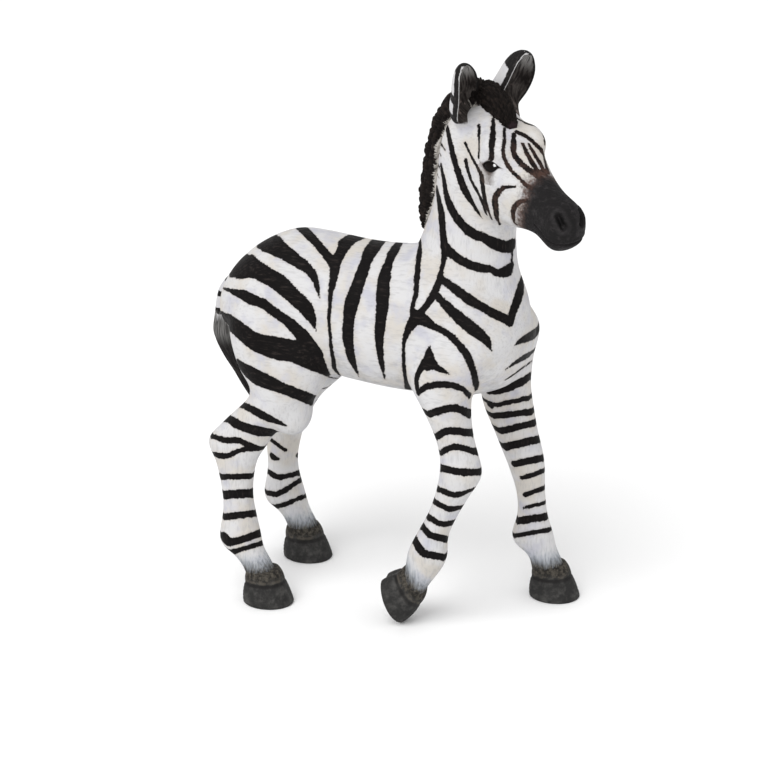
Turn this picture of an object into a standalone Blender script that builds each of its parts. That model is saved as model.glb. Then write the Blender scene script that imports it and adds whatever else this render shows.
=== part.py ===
"""A standing zebra foal: a solid moulded plastic toy figure, glued up from separate mouldings.

Frame: +X is the way the foal walks, +Y is its left, +Z is up, and the soles stand on Z = 0.
The origin is under the middle of the figure's box.
"""

import math

import bmesh
import bpy
import numpy as np
from mathutils import Matrix, Vector
from mathutils.geometry import intersect_line_plane

MM = 0.001

# Driving sizes of the body
WITHERS_HEIGHT = 59.6 * MM
TRUNK_LENGTH = 50.6 * MM
TRUNK_DEPTH = 23.0 * MM
TRUNK_WIDTH = 20.6 * MM
NECK_RISE = 30.0 * MM
NECK_DEPTH = 12.4 * MM
NECK_WIDTH = 10.4 * MM
HEAD_LENGTH = 23.5 * MM
HEAD_DEPTH = 12.6 * MM
HEAD_WIDTH = 10.4 * MM
MUZZLE_WIDTH = 6.6 * MM

# Driving sizes of the limbs
FORE_CANNON_DEPTH = 4.5 * MM
FORE_CANNON_WIDTH = 4.3 * MM
HIND_CANNON_DEPTH = 5.3 * MM
HIND_CANNON_WIDTH = 4.3 * MM
HOOF_LENGTH = 7.9 * MM
HOOF_WIDTH = 7.2 * MM
HOOF_HEIGHT = 5.4 * MM

# Driving sizes of the ears, eyes, mane and tail
EAR_LENGTH = 9.7 * MM
EAR_WIDTH = 5.4 * MM
EAR_WALL = 0.9 * MM
EAR_ROOT_DIAMETER = 1.8 * MM
EAR_ROOT_LENGTH = 2.4 * MM
EYE_DIAMETER = 3.0 * MM
EYE_GAP = 0.2 * MM
NOSTRIL_LENGTH = 1.6 * MM
MOUTH_GROOVE = 0.5 * MM
MANE_HEIGHT = 3.4 * MM
MANE_THICKNESS = 3.4 * MM
MANE_ROOT = 1.2 * MM
FORELOCK_THICKNESS = 4.4 * MM
FORELOCK_HEIGHT = 3.6 * MM
TAIL_LENGTH = 23.0 * MM
TAIL_THICKNESS = 4.0 * MM

# Glued joints: every joint is a round peg in a blind socket
JOINT_GAP = 0.3 * MM
LIMB_PEG_DIAMETER = 2.6 * MM
LIMB_PEG_LENGTH = 3.2 * MM
FORE_SEAM_DROP = 1.4 * MM
HIND_SEAM_DROP = 2.5 * MM
NECK_PEG_DIAMETER = 5.0 * MM
NECK_PEG_LENGTH = 4.0 * MM
HOOF_PEG_DIAMETER = 1.9 * MM
HOOF_PEG_LENGTH = 2.0 * MM

# How finely the sculpted skin is made
BODY_VOXEL = 0.8 * MM
HEAD_VOXEL = 0.5 * MM
SMOOTHING_STEPS = 6
BODY_KEPT_SHARE = 0.15
HEAD_KEPT_SHARE = 0.088
RING_SIDES = 24
RINGS_PER_STATION = 3

AXIS_X, AXIS_Y, AXIS_Z = Vector((1, 0, 0)), Vector((0, 1, 0)), Vector((0, 0, 1))
RIGHT, LEFT = -1, 1
SIDES = {"right": RIGHT, "left": LEFT}


def clear_scene():
    for obj in list(bpy.data.objects):
        bpy.data.objects.remove(obj)


def material(name, colour, roughness):
    made = bpy.data.materials.new(name)
    made.use_nodes = True
    shader = made.node_tree.nodes["Principled BSDF"]
    shader.inputs["Base Color"].default_value = (*colour, 1.0)
    shader.inputs["Roughness"].default_value = roughness
    shader.inputs["Metallic"].default_value = 0.0
    return made


def smooth_rows(rows, per_span=RINGS_PER_STATION):
    """Rows of numbers with more rows put between them along a Catmull-Rom curve."""
    rows = np.array(rows, float)
    padded = np.vstack([2 * rows[0] - rows[1], rows, 2 * rows[-1] - rows[-2]])
    found = []
    for i in range(1, len(padded) - 2):
        before, start, end, after = padded[i - 1 : i + 3]
        for t in np.arange(per_span) / per_span:
            line = (end - before) * t
            curve = (2 * before - 5 * start + 4 * end - after) * t**2
            ease = (3 * start - before - 3 * end + after) * t**3
            found.append(start + (line + curve + ease) / 2)
    found.append(rows[-1])
    return np.array(found)


def row_at(rows, value):
    """The numbers that follow the first one in a table of rows, read at a value of the first."""
    rows = smooth_rows(rows)
    rows = rows[np.argsort(rows[:, 0])]
    return [np.interp(value, rows[:, 0], column) for column in rows[:, 1:].T]


def mesh_of(name, bm):
    mesh = bpy.data.meshes.new(name)
    bm.to_mesh(mesh)
    bm.free()
    return mesh


def loft_mesh(name, rings):
    """A closed mesh through equal rings of points, with each end filled."""
    bm = bmesh.new()
    layers = [[bm.verts.new(point) for point in ring] for ring in rings]
    for lower, upper in zip(layers, layers[1:]):
        for i in range(len(lower)):
            j = (i + 1) % len(lower)
            bm.faces.new((lower[i], lower[j], upper[j], upper[i]))
    for layer in (layers[0], layers[-1]):
        centre = bm.verts.new(sum((v.co for v in layer), Vector()) / len(layer))
        for i in range(len(layer)):
            bm.faces.new((layer[i], layer[(i + 1) % len(layer)], centre))
    bm.normal_update()
    bmesh.ops.recalc_face_normals(bm, faces=bm.faces)
    return mesh_of(name, bm)


def oval(centre, across, along, half_across, half_fore, half_rear, sides=RING_SIDES, power=1.0):
    """An egg-shaped ring: one half-width across, and its own half-length to the fore and to the rear.

    A power under 1 of the cosine and the sine makes the ring fuller at its corners.
    """
    ring = []
    for i in range(sides):
        angle = 2 * math.pi * i / sides
        aside = math.copysign(abs(math.cos(angle)) ** power, math.cos(angle))
        ahead = math.copysign(abs(math.sin(angle)) ** power, math.sin(angle))
        reach = half_fore if ahead > 0 else half_rear
        ring.append(centre + across * (half_across * aside) + along * (reach * ahead))
    return ring


def egg_mesh(name, frame, centre, radii, segments=20):
    """An ellipsoid with its own radius along each axis of a frame."""
    bm = bmesh.new()
    bmesh.ops.create_uvsphere(bm, u_segments=segments, v_segments=segments // 2, radius=1)
    bm.transform(frame @ Matrix.Translation(centre) @ Matrix.Diagonal((*radii, 1)))
    return mesh_of(name, bm)


def add_object(name, mesh, surface=None):
    obj = bpy.data.objects.new(name, mesh)
    bpy.context.scene.collection.objects.link(obj)
    if surface is not None:
        obj.data.materials.append(surface)
    return obj


def helper(mesh):
    """A cutter or a guide: it shapes other pieces and is not one itself."""
    obj = add_object(f"helper_{mesh.name}", mesh)
    obj.hide_render = True
    obj.display_type = "WIRE"
    return obj


def boolean(obj, operation, other):
    modifier = obj.modifiers.new(f"{operation.title()} {other.name}", "BOOLEAN")
    modifier.operation = operation
    modifier.object = other
    modifier.solver = "EXACT"


# The trunk, as upright slices from the buttocks to the breast:
# along the length, top and bottom above the belly line, half-width
TRUNK_REAR = -0.518 * TRUNK_LENGTH
BELLY_HEIGHT = WITHERS_HEIGHT - TRUNK_DEPTH
TRUNK_SLICE_SHARES = (
    (0.000, 0.50, 0.36, 0.10),
    (0.012, 0.58, 0.27, 0.42),
    (0.055, 0.72, 0.16, 0.70),
    (0.130, 0.86, 0.07, 0.88),
    (0.230, 0.96, 0.03, 0.97),
    (0.340, 0.975, 0.02, 0.98),
    (0.460, 0.950, 0.00, 0.99),
    (0.580, 0.950, -0.01, 1.00),
    (0.700, 0.990, -0.01, 0.98),
    (0.810, 0.960, 0.01, 0.93),
    (0.900, 0.830, 0.05, 0.82),
    (0.960, 0.690, 0.12, 0.66),
    (0.990, 0.570, 0.24, 0.42),
    (1.000, 0.470, 0.38, 0.12),
)
TRUNK_MIDDLE_SHARE = 0.46


def trunk_place(along_share, side_share, rise_share):
    """A point of the trunk: along its length, in widths to its left, in depths above the belly line."""
    return Vector(
        (
            TRUNK_REAR + TRUNK_LENGTH * along_share,
            TRUNK_WIDTH * side_share,
            BELLY_HEIGHT + TRUNK_DEPTH * rise_share,
        )
    )


def trunk_form():
    rings = []
    for along, top, bottom, half in smooth_rows(TRUNK_SLICE_SHARES):
        middle = TRUNK_MIDDLE_SHARE * top + (1 - TRUNK_MIDDLE_SHARE) * bottom
        rise = TRUNK_DEPTH * (top - middle)
        fall = TRUNK_DEPTH * (middle - bottom)
        centre = trunk_place(along, 0, middle)
        rings.append(oval(centre, AXIS_Y, AXIS_Z, TRUNK_WIDTH / 2 * half, rise, fall))
    return loft_mesh("trunk_form", rings)


# The neck, as level slices from inside the breast to the poll: height, forward, side,
# half-depth to the fore and to the rear, half-width
NECK_ALONG_SHARE = 0.787
NECK_SUNK_SHARE = 0.42
NECK_BASE = Vector(
    (
        TRUNK_REAR + TRUNK_LENGTH * NECK_ALONG_SHARE,
        0,
        WITHERS_HEIGHT - NECK_RISE * NECK_SUNK_SHARE,
    )
)
NECK_SLICE_SHARES = (
    (0.00, -0.02, 0.00, 0.86, 0.80, 1.20),
    (0.16, 0.00, 0.00, 0.80, 0.78, 1.20),
    (0.32, 0.01, 0.00, 0.62, 0.73, 1.10),
    (0.48, 0.02, 0.00, 0.53, 0.62, 1.00),
    (0.64, 0.03, 0.00, 0.52, 0.51, 0.94),
    (0.80, 0.03, -0.01, 0.50, 0.46, 0.90),
    (0.95, 0.04, -0.02, 0.46, 0.43, 0.86),
    (1.08, 0.06, -0.03, 0.36, 0.34, 0.72),
    (1.14, 0.10, -0.03, 0.22, 0.20, 0.50),
    (1.17, 0.13, -0.03, 0.10, 0.08, 0.26),
)


def neck_middle(rise):
    ahead, side, fore, rear, _ = row_at(NECK_SLICE_SHARES, rise)
    middle = NECK_BASE + Vector((ahead, side, rise)) * NECK_RISE
    return middle + AXIS_X * (NECK_DEPTH * (fore - rear) / 2)


def neck_form():
    rings = []
    for rise, ahead, side, fore, rear, half in smooth_rows(NECK_SLICE_SHARES):
        centre = NECK_BASE + Vector((ahead, side, rise)) * NECK_RISE
        rings.append(
            oval(centre, AXIS_Y, AXIS_X, NECK_WIDTH / 2 * half, NECK_DEPTH * fore, NECK_DEPTH * rear)
        )
    return loft_mesh("neck_form", rings)


# The head, as slices square to a line from the poll to the muzzle. The head is turned to the
# right and bowed. Each slice: along the face, top and bottom below the brow line, half-width
HEAD_TURN = math.radians(-36)
HEAD_BOW = math.radians(17)
HEAD_TILT = math.radians(3)
POLL_SHARES = (0.10, -0.027, 1.085)
POLL = NECK_BASE + Vector(POLL_SHARES) * NECK_RISE
HEAD_SLICE_SHARES = (
    (-0.100, -0.12, -0.46, 0.32),
    (-0.060, 0.09, -0.66, 0.64),
    (0.030, 0.20, -0.86, 0.88),
    (0.150, 0.19, -1.00, 0.95),
    (0.280, 0.13, -1.04, 0.96),
    (0.400, 0.05, -0.99, 0.87),
    (0.520, -0.03, -0.90, 0.72),
    (0.640, -0.10, -0.80, 0.60),
    (0.760, -0.14, -0.74, 0.55),
    (0.870, -0.15, -0.74, 0.59),
    (0.940, -0.18, -0.73, 0.60),
    (0.985, -0.26, -0.67, 0.50),
    (1.010, -0.36, -0.56, 0.25),
)
SKULL_POWER = 0.80


def head_frame():
    """The matrix that carries head axes (X to the muzzle, Y to its left, Z out of the brow) into place."""
    turn = Matrix.Rotation(HEAD_TURN, 4, "Z")
    bow = Matrix.Rotation(HEAD_BOW, 4, "Y")
    tilt = Matrix.Rotation(HEAD_TILT, 4, "X")
    return Matrix.Translation(POLL) @ turn @ bow @ tilt


def head_place(along_share, side_share, rise_share):
    """A point of the head in head axes: in head lengths, half-widths and depths."""
    return Vector(
        (HEAD_LENGTH * along_share, HEAD_WIDTH / 2 * side_share, HEAD_DEPTH * rise_share)
    )


ORBIT_PLACE_SHARES = (0.285, 0.58, -0.06)
ORBIT_RADIUS_SHARES = (0.15, 0.36, 0.20)
EAR_BOSS_PLACE_SHARES = (-0.02, 0.62, -0.08)
EAR_BOSS_RADIUS_SHARES = (0.11, 0.40, 0.20)
JAW_PLACE_SHARES = (0.20, 0.52, -0.60)
JAW_RADIUS_SHARES = (0.17, 0.42, 0.42)


def head_form():
    rings = []
    for along, top, bottom, half in smooth_rows(HEAD_SLICE_SHARES):
        centre = head_place(along, 0, (top + bottom) / 2)
        reach = HEAD_DEPTH * (top - bottom) / 2
        half_width = HEAD_WIDTH / 2 * half
        rings.append(oval(centre, AXIS_Y, AXIS_Z, half_width, reach, reach, power=SKULL_POWER))
    mesh = loft_mesh("head_form", rings)
    mesh.transform(head_frame())
    return mesh


def paired_eggs(name, place_shares, radius_shares):
    """The same ellipsoid on both sides of the head."""
    along, side, rise = place_shares
    radii = head_place(*radius_shares)
    return [
        egg_mesh(f"{hand}_{name}", head_frame(), head_place(along, side * sign, rise), radii)
        for hand, sign in SIDES.items()
    ]


# The legs, as level slices: height, forward and outward of the leg's root, half-depth, half-width
FORE_ROOT = trunk_place(0.8142, 0.291, 0)
FORELEG_HEIGHT = WITHERS_HEIGHT - 0.548 * TRUNK_DEPTH
FORE_STRAIGHT_SHARES = (
    (1.082, -0.010, -0.015, 1.20, 0.75),
    (0.980, 0.010, 0.010, 1.75, 1.00),
    (0.857, 0.020, 0.026, 1.50, 1.00),
    (0.755, 0.041, 0.036, 0.95, 0.92),
    (0.673, 0.066, 0.046, 0.78, 0.78),
    (0.591, 0.092, 0.051, 0.68, 0.70),
    (0.510, 0.117, 0.056, 0.62, 0.64),
    (0.459, 0.128, 0.059, 0.56, 0.60),
    (0.367, 0.135, 0.063, 0.48, 0.50),
    (0.285, 0.139, 0.067, 0.54, 0.54),
    (0.234, 0.138, 0.069, 0.745, 0.64),
    (0.183, 0.162, 0.071, 0.60, 0.58),
    (0.140, 0.184, 0.074, 0.47, 0.52),
    (0.095, 0.196, 0.078, 0.46, 0.52),
    (0.030, 0.200, 0.082, 0.46, 0.52),
)
FORE_BENT_SHARES = (
    (1.082, -0.031, -0.015, 1.20, 0.75),
    (0.980, -0.031, 0.010, 1.75, 1.00),
    (0.857, -0.041, 0.026, 1.40, 1.00),
    (0.765, -0.031, 0.036, 0.85, 0.90),
    (0.683, -0.010, 0.041, 0.66, 0.72),
    (0.612, 0.010, 0.043, 0.68, 0.68),
    (0.556, 0.015, 0.044, 0.74, 0.72),
    (0.489, 0.005, 0.044, 0.64, 0.62),
    (0.408, -0.026, 0.044, 0.56, 0.52),
    (0.326, -0.066, 0.044, 0.60, 0.54),
    (0.260, -0.097, 0.044, 0.73, 0.62),
    (0.214, -0.108, 0.044, 0.66, 0.56),
    (0.173, -0.128, 0.044, 0.58, 0.54),
    (0.132, -0.152, 0.044, 0.54, 0.52),
    (0.091, -0.172, 0.044, 0.50, 0.50),
)
HIND_ROOT = trunk_place(0.2117, 0.223, 0)
HINDLEG_HEIGHT = WITHERS_HEIGHT - 0.374 * TRUNK_DEPTH
HIND_SHARES = (
    (1.031, 0.020, -0.041, 0.90, 0.60),
    (0.959, 0.000, 0.000, 1.55, 1.15),
    (0.857, 0.000, 0.025, 1.75, 1.28),
    (0.755, 0.015, 0.041, 1.56, 1.18),
    (0.674, 0.031, 0.051, 1.00, 0.95),
    (0.572, -0.066, 0.057, 0.87, 0.74),
    (0.500, -0.118, 0.061, 0.94, 0.64),
    (0.439, -0.114, 0.065, 0.63, 0.58),
    (0.347, -0.109, 0.070, 0.49, 0.52),
    (0.286, -0.107, 0.074, 0.51, 0.54),
    (0.230, -0.104, 0.079, 0.68, 0.64),
    (0.154, -0.066, 0.082, 0.44, 0.52),
    (0.093, -0.040, 0.086, 0.42, 0.52),
    (0.031, -0.026, 0.088, 0.42, 0.52),
)

# Each foot: the middle of its sole, forward and outward of the leg's root in leg heights, how far
# the hoof is pitched onto its toe, and how much less its crown is pitched than its sole
FORE_SIZES = (FORELEG_HEIGHT, FORE_CANNON_DEPTH, FORE_CANNON_WIDTH)
HIND_SIZES = (HINDLEG_HEIGHT, HIND_CANNON_DEPTH, HIND_CANNON_WIDTH)
LEVEL, ON_TOE = (0, math.radians(4)), (math.radians(66), math.radians(18))
LEGS = {
    "right_fore": (FORE_BENT_SHARES, FORE_ROOT, RIGHT, *FORE_SIZES),
    "left_fore": (FORE_STRAIGHT_SHARES, FORE_ROOT, LEFT, *FORE_SIZES),
    "right_hind": (HIND_SHARES, HIND_ROOT, RIGHT, *HIND_SIZES),
    "left_hind": (HIND_SHARES, HIND_ROOT, LEFT, *HIND_SIZES),
}
FOOT_SHARES = {
    "right_fore": (-0.221, 0.036, ON_TOE),
    "left_fore": (0.2125, 0.081, LEVEL),
    "right_hind": (-0.010, 0.0865, LEVEL),
    "left_hind": (-0.031, 0.0865, LEVEL),
}


def leg_centre(root, side, height, rise, ahead, out):
    return Vector((root.x + ahead * height, side * (root.y + out * height), rise * height))


def leg_form(name, shares, root, side, height, depth, width):
    rings = []
    for rise, ahead, out, deep, wide in smooth_rows(shares):
        centre = leg_centre(root, side, height, rise, ahead, out)
        rings.append(oval(centre, AXIS_Y, AXIS_X, wide * width, deep * depth, deep * depth))
    return loft_mesh(f"{name}_form", rings)


def sculpted_skin(name, forms, voxel, kept_share):
    """Overlapping forms blended into one smooth skin, from which the mouldings are parted."""
    bm = bmesh.new()
    for form in forms:
        bm.from_mesh(form)
    sculpt = helper(mesh_of(name, bm))
    remesh = sculpt.modifiers.new("Blend the forms", "REMESH")
    remesh.mode = "VOXEL"
    remesh.voxel_size = voxel
    smooth = sculpt.modifiers.new("Smooth", "SMOOTH")
    smooth.factor = 0.5
    smooth.iterations = SMOOTHING_STEPS
    reduce = sculpt.modifiers.new("Reduce", "DECIMATE")
    reduce.ratio = kept_share
    graph = bpy.context.evaluated_depsgraph_get()
    skin = bpy.data.meshes.new_from_object(sculpt.evaluated_get(graph))
    bpy.data.objects.remove(sculpt)
    return skin


# A seam is a flat cut between two mouldings, as a matrix whose Z axis is the way that the
# outer moulding leaves
def seam_at(point, way):
    return Matrix.Translation(point) @ way.to_track_quat("Z", "Y").to_matrix().to_4x4()


def beyond(name, seam, gap, half_width, depth):
    """A block that fills the outer side of a seam, from half of the joint gap on this side of it."""
    bm = bmesh.new()
    bmesh.ops.create_cube(bm, size=1)
    bm.transform(
        seam
        @ Matrix.Translation((0, 0, gap))
        @ Matrix.Diagonal((2 * half_width, 2 * half_width, depth, 1))
        @ Matrix.Translation((0, 0, 0.5))
    )
    bm.normal_update()
    bmesh.ops.recalc_face_normals(bm, faces=bm.faces)
    return helper(mesh_of(name, bm))


def peg(name, seam, diameter, length, grow=0.0):
    """A round peg on the outer moulding that stands into the inner one, as long again inside its own."""
    bm = bmesh.new()
    bmesh.ops.create_cone(
        bm,
        cap_ends=True,
        segments=16,
        radius1=diameter / 2 + grow,
        radius2=diameter / 2 + grow,
        depth=2 * length + grow,
    )
    bm.transform(seam @ Matrix.Translation((0, 0, -grow / 2)))
    return helper(mesh_of(name, bm))


REACH = 2 * WITHERS_HEIGHT


def join(inner, outer, name, seam, diameter, length):
    """Give the outer moulding a peg and the inner one its socket."""
    boolean(outer, "UNION", peg(f"{name}_peg", seam, diameter, length))
    boolean(inner, "DIFFERENCE", peg(f"{name}_socket", seam, diameter, length, JOINT_GAP))


def cut_beyond(obj, name, seam, half_width=REACH):
    boolean(obj, "DIFFERENCE", beyond(f"{name}_outside", seam, -JOINT_GAP / 2, half_width, REACH))


def cut_before(obj, name, seam, half_width=REACH, depth=REACH):
    boolean(obj, "DIFFERENCE", beyond(f"{name}_inside", seam, JOINT_GAP / 2, half_width, -depth))


# Seams of the neck and the head: the neck leaves the trunk from the withers down to the breast,
# and the head leaves the neck from behind the ears down to the throat
NECK_SEAM_PLACE_SHARES = (0.062, 0, 0.30)
NECK_SEAM_WAY = Vector((0.50, 0, 0.87))
HEAD_SEAM_PLACE_SHARES = (-0.053, 0, -0.58)
HEAD_SEAM_WAY = Vector((0.63, 0, 0.77))
HEAD_PEG_SPAN_SHARES = (0.6, 1.0)


def neck_seam():
    point = NECK_BASE + Vector(NECK_SEAM_PLACE_SHARES) * NECK_RISE
    return seam_at(point, NECK_SEAM_WAY.normalized())


def head_seam():
    frame = head_frame()
    point = frame @ head_place(*HEAD_SEAM_PLACE_SHARES)
    return seam_at(point, (frame.to_3x3() @ HEAD_SEAM_WAY).normalized())


def head_peg_seat():
    """The seat of the head's peg: where the middle of the neck meets the head's seam, up the neck."""
    low, high = (neck_middle(rise) for rise in HEAD_PEG_SPAN_SHARES)
    seam = head_seam()
    meeting = intersect_line_plane(low, high, seam.translation, seam.col[2].to_3d())
    return seam_at(meeting, (high - low).normalized())


# The mane stands from the withers to the poll, where the forelock takes over
POLL_SEAM_PLACE_SHARES = (-0.08, 0, 0.15)
POLL_SEAM_WAY = Vector((0.87, 0, 0.50))


def poll_seam():
    frame = head_frame()
    point = frame @ head_place(*POLL_SEAM_PLACE_SHARES)
    return seam_at(point, (frame.to_3x3() @ POLL_SEAM_WAY).normalized())


# Seams of the legs and the hoofs
def leg_seam(name):
    shares, root, side, height = LEGS[name][:4]
    drop = FORE_SEAM_DROP if "fore" in name else HIND_SEAM_DROP
    rise = (BELLY_HEIGHT - drop) / height
    ahead, out = row_at(shares, rise)[:2]
    return seam_at(leg_centre(root, side, height, rise, ahead, out), -AXIS_Z)


def leg_quarter(name):
    """A block that holds one leg below its seam and reaches the middle of the body on two sides."""
    side, seam = LEGS[name][2], leg_seam(name)
    front = REACH if "fore" in name else 0
    low = Vector((front - REACH, min(0, side * REACH), -REACH))
    high = Vector((front, max(0, side * REACH), seam.translation.z - JOINT_GAP / 2))
    bm = bmesh.new()
    bmesh.ops.create_cube(bm, size=1)
    size = high - low
    bm.transform(Matrix.Translation((low + high) / 2) @ Matrix.Diagonal((*size, 1)))
    return helper(mesh_of(f"{name}_quarter", bm))


# The hoof: rings from the sole to the crown. Each row: height, size, then how far the ring's
# middle lies behind the sole's middle, in hoof lengths
HOOF_SLICE_SHARES = (
    (0.00, 0.96, 0.000),
    (0.05, 1.00, 0.000),
    (0.35, 0.90, 0.045),
    (0.62, 0.80, 0.080),
    (0.70, 0.78, 0.090),
    (0.76, 0.80, 0.098),
    (0.90, 0.76, 0.115),
    (1.00, 0.69, 0.125),
)
HOOF_TOE_SHARE = 0.52
HEEL_CLEFT_SHARE = 0.09
HEEL_CLEFT_ANGLE = math.radians(20)
HOOF_SIDES = 18


def hoof_frame(name):
    """The matrix that carries hoof axes (X to the toe, Z from the sole up) into place.

    The hoof is raised until the lowest point of its toe stands on the ground.
    """
    _, root, side, height = LEGS[name][:4]
    ahead, out, (pitch, ease) = FOOT_SHARES[name]
    rise = 0
    for level_share, size, _ in HOOF_SLICE_SHARES:
        tip, leant = size * HOOF_TOE_SHARE * HOOF_LENGTH, pitch - ease * level_share
        rise = max(rise, tip * math.sin(leant) - HOOF_HEIGHT * level_share * math.cos(leant))
    point = leg_centre(root, side, height, rise / height, ahead, out)
    return Matrix.Translation(point) @ Matrix.Rotation(pitch, 4, "Y")


def hoof_level(name, level_share):
    """The matrix of a level of the hoof, which leans back with height towards the crown's pitch."""
    _, _, (_, ease) = FOOT_SHARES[name]
    height = HOOF_HEIGHT * level_share
    eased = hoof_frame(name) @ Matrix.Rotation(-ease * level_share, 4, "Y")
    return eased @ Matrix.Translation((0, 0, height))


def hoof_seam(name):
    backward = HOOF_SLICE_SHARES[-1][2] * HOOF_LENGTH
    level = hoof_level(name, 1) @ Matrix.Translation((-backward, 0, 0))
    return level @ Matrix.Rotation(math.pi, 4, "X")


def hoof_mesh(name):
    rings = []
    for level_share, size, backward in HOOF_SLICE_SHARES:
        top = JOINT_GAP / 2 if level_share == 1 else 0
        level = hoof_level(name, level_share)
        ring = []
        for i in range(HOOF_SIDES):
            angle = 2 * math.pi * i / HOOF_SIDES
            reach = HOOF_TOE_SHARE if math.cos(angle) > 0 else 1 - HOOF_TOE_SHARE
            from_heel = math.atan2(math.sin(angle), -math.cos(angle))
            cleft = HEEL_CLEFT_SHARE * math.exp(-((from_heel / HEEL_CLEFT_ANGLE) ** 2))
            forward = size * (reach * math.cos(angle) + cleft) - backward
            aside = size * math.sin(angle) / 2
            ring.append(level @ Vector((forward * HOOF_LENGTH, aside * HOOF_WIDTH, -top)))
        rings.append(ring)
    return loft_mesh(f"{name}_hoof", rings)


# The ear: crescent rings up a leaf-shaped cup. Each row: height, width, hollow from full to
# scooped, and lean of the middle to the rear
EAR_SLICE_SHARES = (
    (-0.08, 0.50, -1.00, 0.00),
    (0.00, 0.54, -1.00, 0.00),
    (0.08, 0.66, -0.80, 0.00),
    (0.18, 0.82, 0.05, 0.02),
    (0.32, 0.97, 0.50, 0.04),
    (0.52, 1.00, 0.60, 0.05),
    (0.70, 0.90, 0.58, 0.03),
    (0.85, 0.68, 0.45, -0.01),
    (0.95, 0.40, 0.10, -0.04),
    (1.00, 0.12, -0.60, -0.06),
)
EAR_PLACE_SHARES = (-0.035, 0.84, 0.00)
EAR_BACK_SHARE = 0.40
EAR_INWARD = math.radians(17)
EAR_SPLAY = math.radians(5)
EAR_LEAN = math.radians(-4)
EAR_ROOT_TILT = math.radians(32)
EAR_ARC_POINTS = 7


def ear_frame(side):
    along, out, rise = EAR_PLACE_SHARES
    base = Matrix.Translation(head_place(along, side * out, rise))
    splay = Matrix.Rotation(-side * EAR_SPLAY, 4, "X")
    lean = Matrix.Rotation(-EAR_LEAN, 4, "Y")
    inward = Matrix.Rotation(-side * EAR_INWARD, 4, "Z")
    return head_frame() @ base @ splay @ lean @ inward


def ear_mesh(name, side, grow=0.0):
    """The cupped ear, or where it is grown, the full space that it takes with its hollow filled."""
    frame = ear_frame(side)
    rings = []
    rows = smooth_rows(EAR_SLICE_SHARES, 2)
    for rise, width, hollow, lean in rows:
        half = EAR_WIDTH / 2 * width + grow
        back = EAR_BACK_SHARE * EAR_WIDTH * width + grow
        rim = min(EAR_WALL, half / 2)
        scoop = -back if grow else min(hollow * back, back - EAR_WALL)
        below = grow if rise == rows[0, 0] else 0
        middle = Vector((lean * EAR_LENGTH, 0, rise * EAR_LENGTH - below))
        ring = []
        for i in range(EAR_ARC_POINTS):
            angle = math.pi * i / (EAR_ARC_POINTS - 1)
            ring.append(Vector((-back * math.sin(angle), half * math.cos(angle), 0)))
        for i in range(1, EAR_ARC_POINTS - 1):
            angle = math.pi * (1 - i / (EAR_ARC_POINTS - 1))
            lift = rim / 2 * abs(math.cos(angle))
            ring.append(Vector((lift - scoop * math.sin(angle), (half - rim / 2) * math.cos(angle), 0)))
        rings.append([frame @ (middle + point) for point in ring])
    return loft_mesh(name, rings)


def ear_root(name, side, grow=0.0):
    """The round root that plugs the ear into the skull, tilted towards the middle of the skull."""
    bm = bmesh.new()
    bmesh.ops.create_cone(
        bm,
        cap_ends=True,
        segments=12,
        radius1=EAR_ROOT_DIAMETER / 2 + grow,
        radius2=EAR_ROOT_DIAMETER / 2 + grow,
        depth=EAR_ROOT_LENGTH + grow,
    )
    tilt = Matrix.Rotation(-side * EAR_ROOT_TILT, 4, "X")
    bm.transform(ear_frame(side) @ tilt @ Matrix.Translation((0, 0, -(EAR_ROOT_LENGTH + grow) / 2)))
    return helper(mesh_of(name, bm))


# The eye, a ball in a socket
EYE_PLACE_SHARES = (0.320, 0.66, -0.215)


def eye_mesh(name, side, grow=0.0):
    along, out, rise = EYE_PLACE_SHARES
    radius = EYE_DIAMETER / 2 + grow
    return egg_mesh(name, head_frame(), head_place(along, side * out, rise), (radius,) * 3, 12)


# The nostril, a slanted dent, and the mouth, a groove round the lips
NOSTRIL_PLACE_SHARES = (0.955, 0.31, -0.23)
NOSTRIL_SLANT = math.radians(35)
MOUTH_HEIGHT_SHARE = -0.525
MOUTH_START_SHARE = 0.86
MOUTH_REACH_SHARE = 0.145
MOUTH_TURN = math.radians(105)
MOUTH_STEPS = 16


def nostril(name, side):
    along, out, rise = NOSTRIL_PLACE_SHARES
    frame = head_frame() @ Matrix.Translation(head_place(along, side * out, rise))
    frame = frame @ Matrix.Rotation(NOSTRIL_SLANT, 4, "Y")
    radii = (NOSTRIL_LENGTH / 2, NOSTRIL_LENGTH / 2, NOSTRIL_LENGTH / 4)
    return helper(egg_mesh(name, frame, Vector(), radii, 12))


def mouth():
    """A square-edged rod bent round the lips, which cuts the line of the mouth."""
    frame = head_frame()
    rings = []
    for i in range(MOUTH_STEPS + 1):
        angle = MOUTH_TURN * (2 * i / MOUTH_STEPS - 1)
        out = Vector((math.cos(angle), math.sin(angle), 0))
        lip = head_place(MOUTH_START_SHARE, 0, MOUTH_HEIGHT_SHARE)
        lip += Vector((MOUTH_REACH_SHARE * HEAD_LENGTH * out.x, MUZZLE_WIDTH / 2 * out.y, 0))
        deep, high = out * MOUTH_GROOVE, AXIS_Z * MOUTH_GROOVE / 2
        corners = [deep, high, -deep, -high]
        rings.append([frame @ (lip + corner) for corner in corners])
    return helper(loft_mesh("mouth", rings))


# The mane stands on the crest of the neck, in tufts. Each row: height up the neck, mane
# height, mane thickness
MANE_SLICE_SHARES = (
    (0.480, 0.12, 0.40),
    (0.530, 0.50, 0.70),
    (0.640, 0.84, 0.90),
    (0.780, 0.80, 1.00),
    (0.900, 0.76, 1.00),
    (1.000, 0.72, 1.00),
    (1.080, 0.78, 1.04),
    (1.140, 1.00, 1.08),
    (1.170, 1.10, 1.08),
)
MANE_TUFTS = 16
TUFT_SHARE = 0.16


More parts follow.
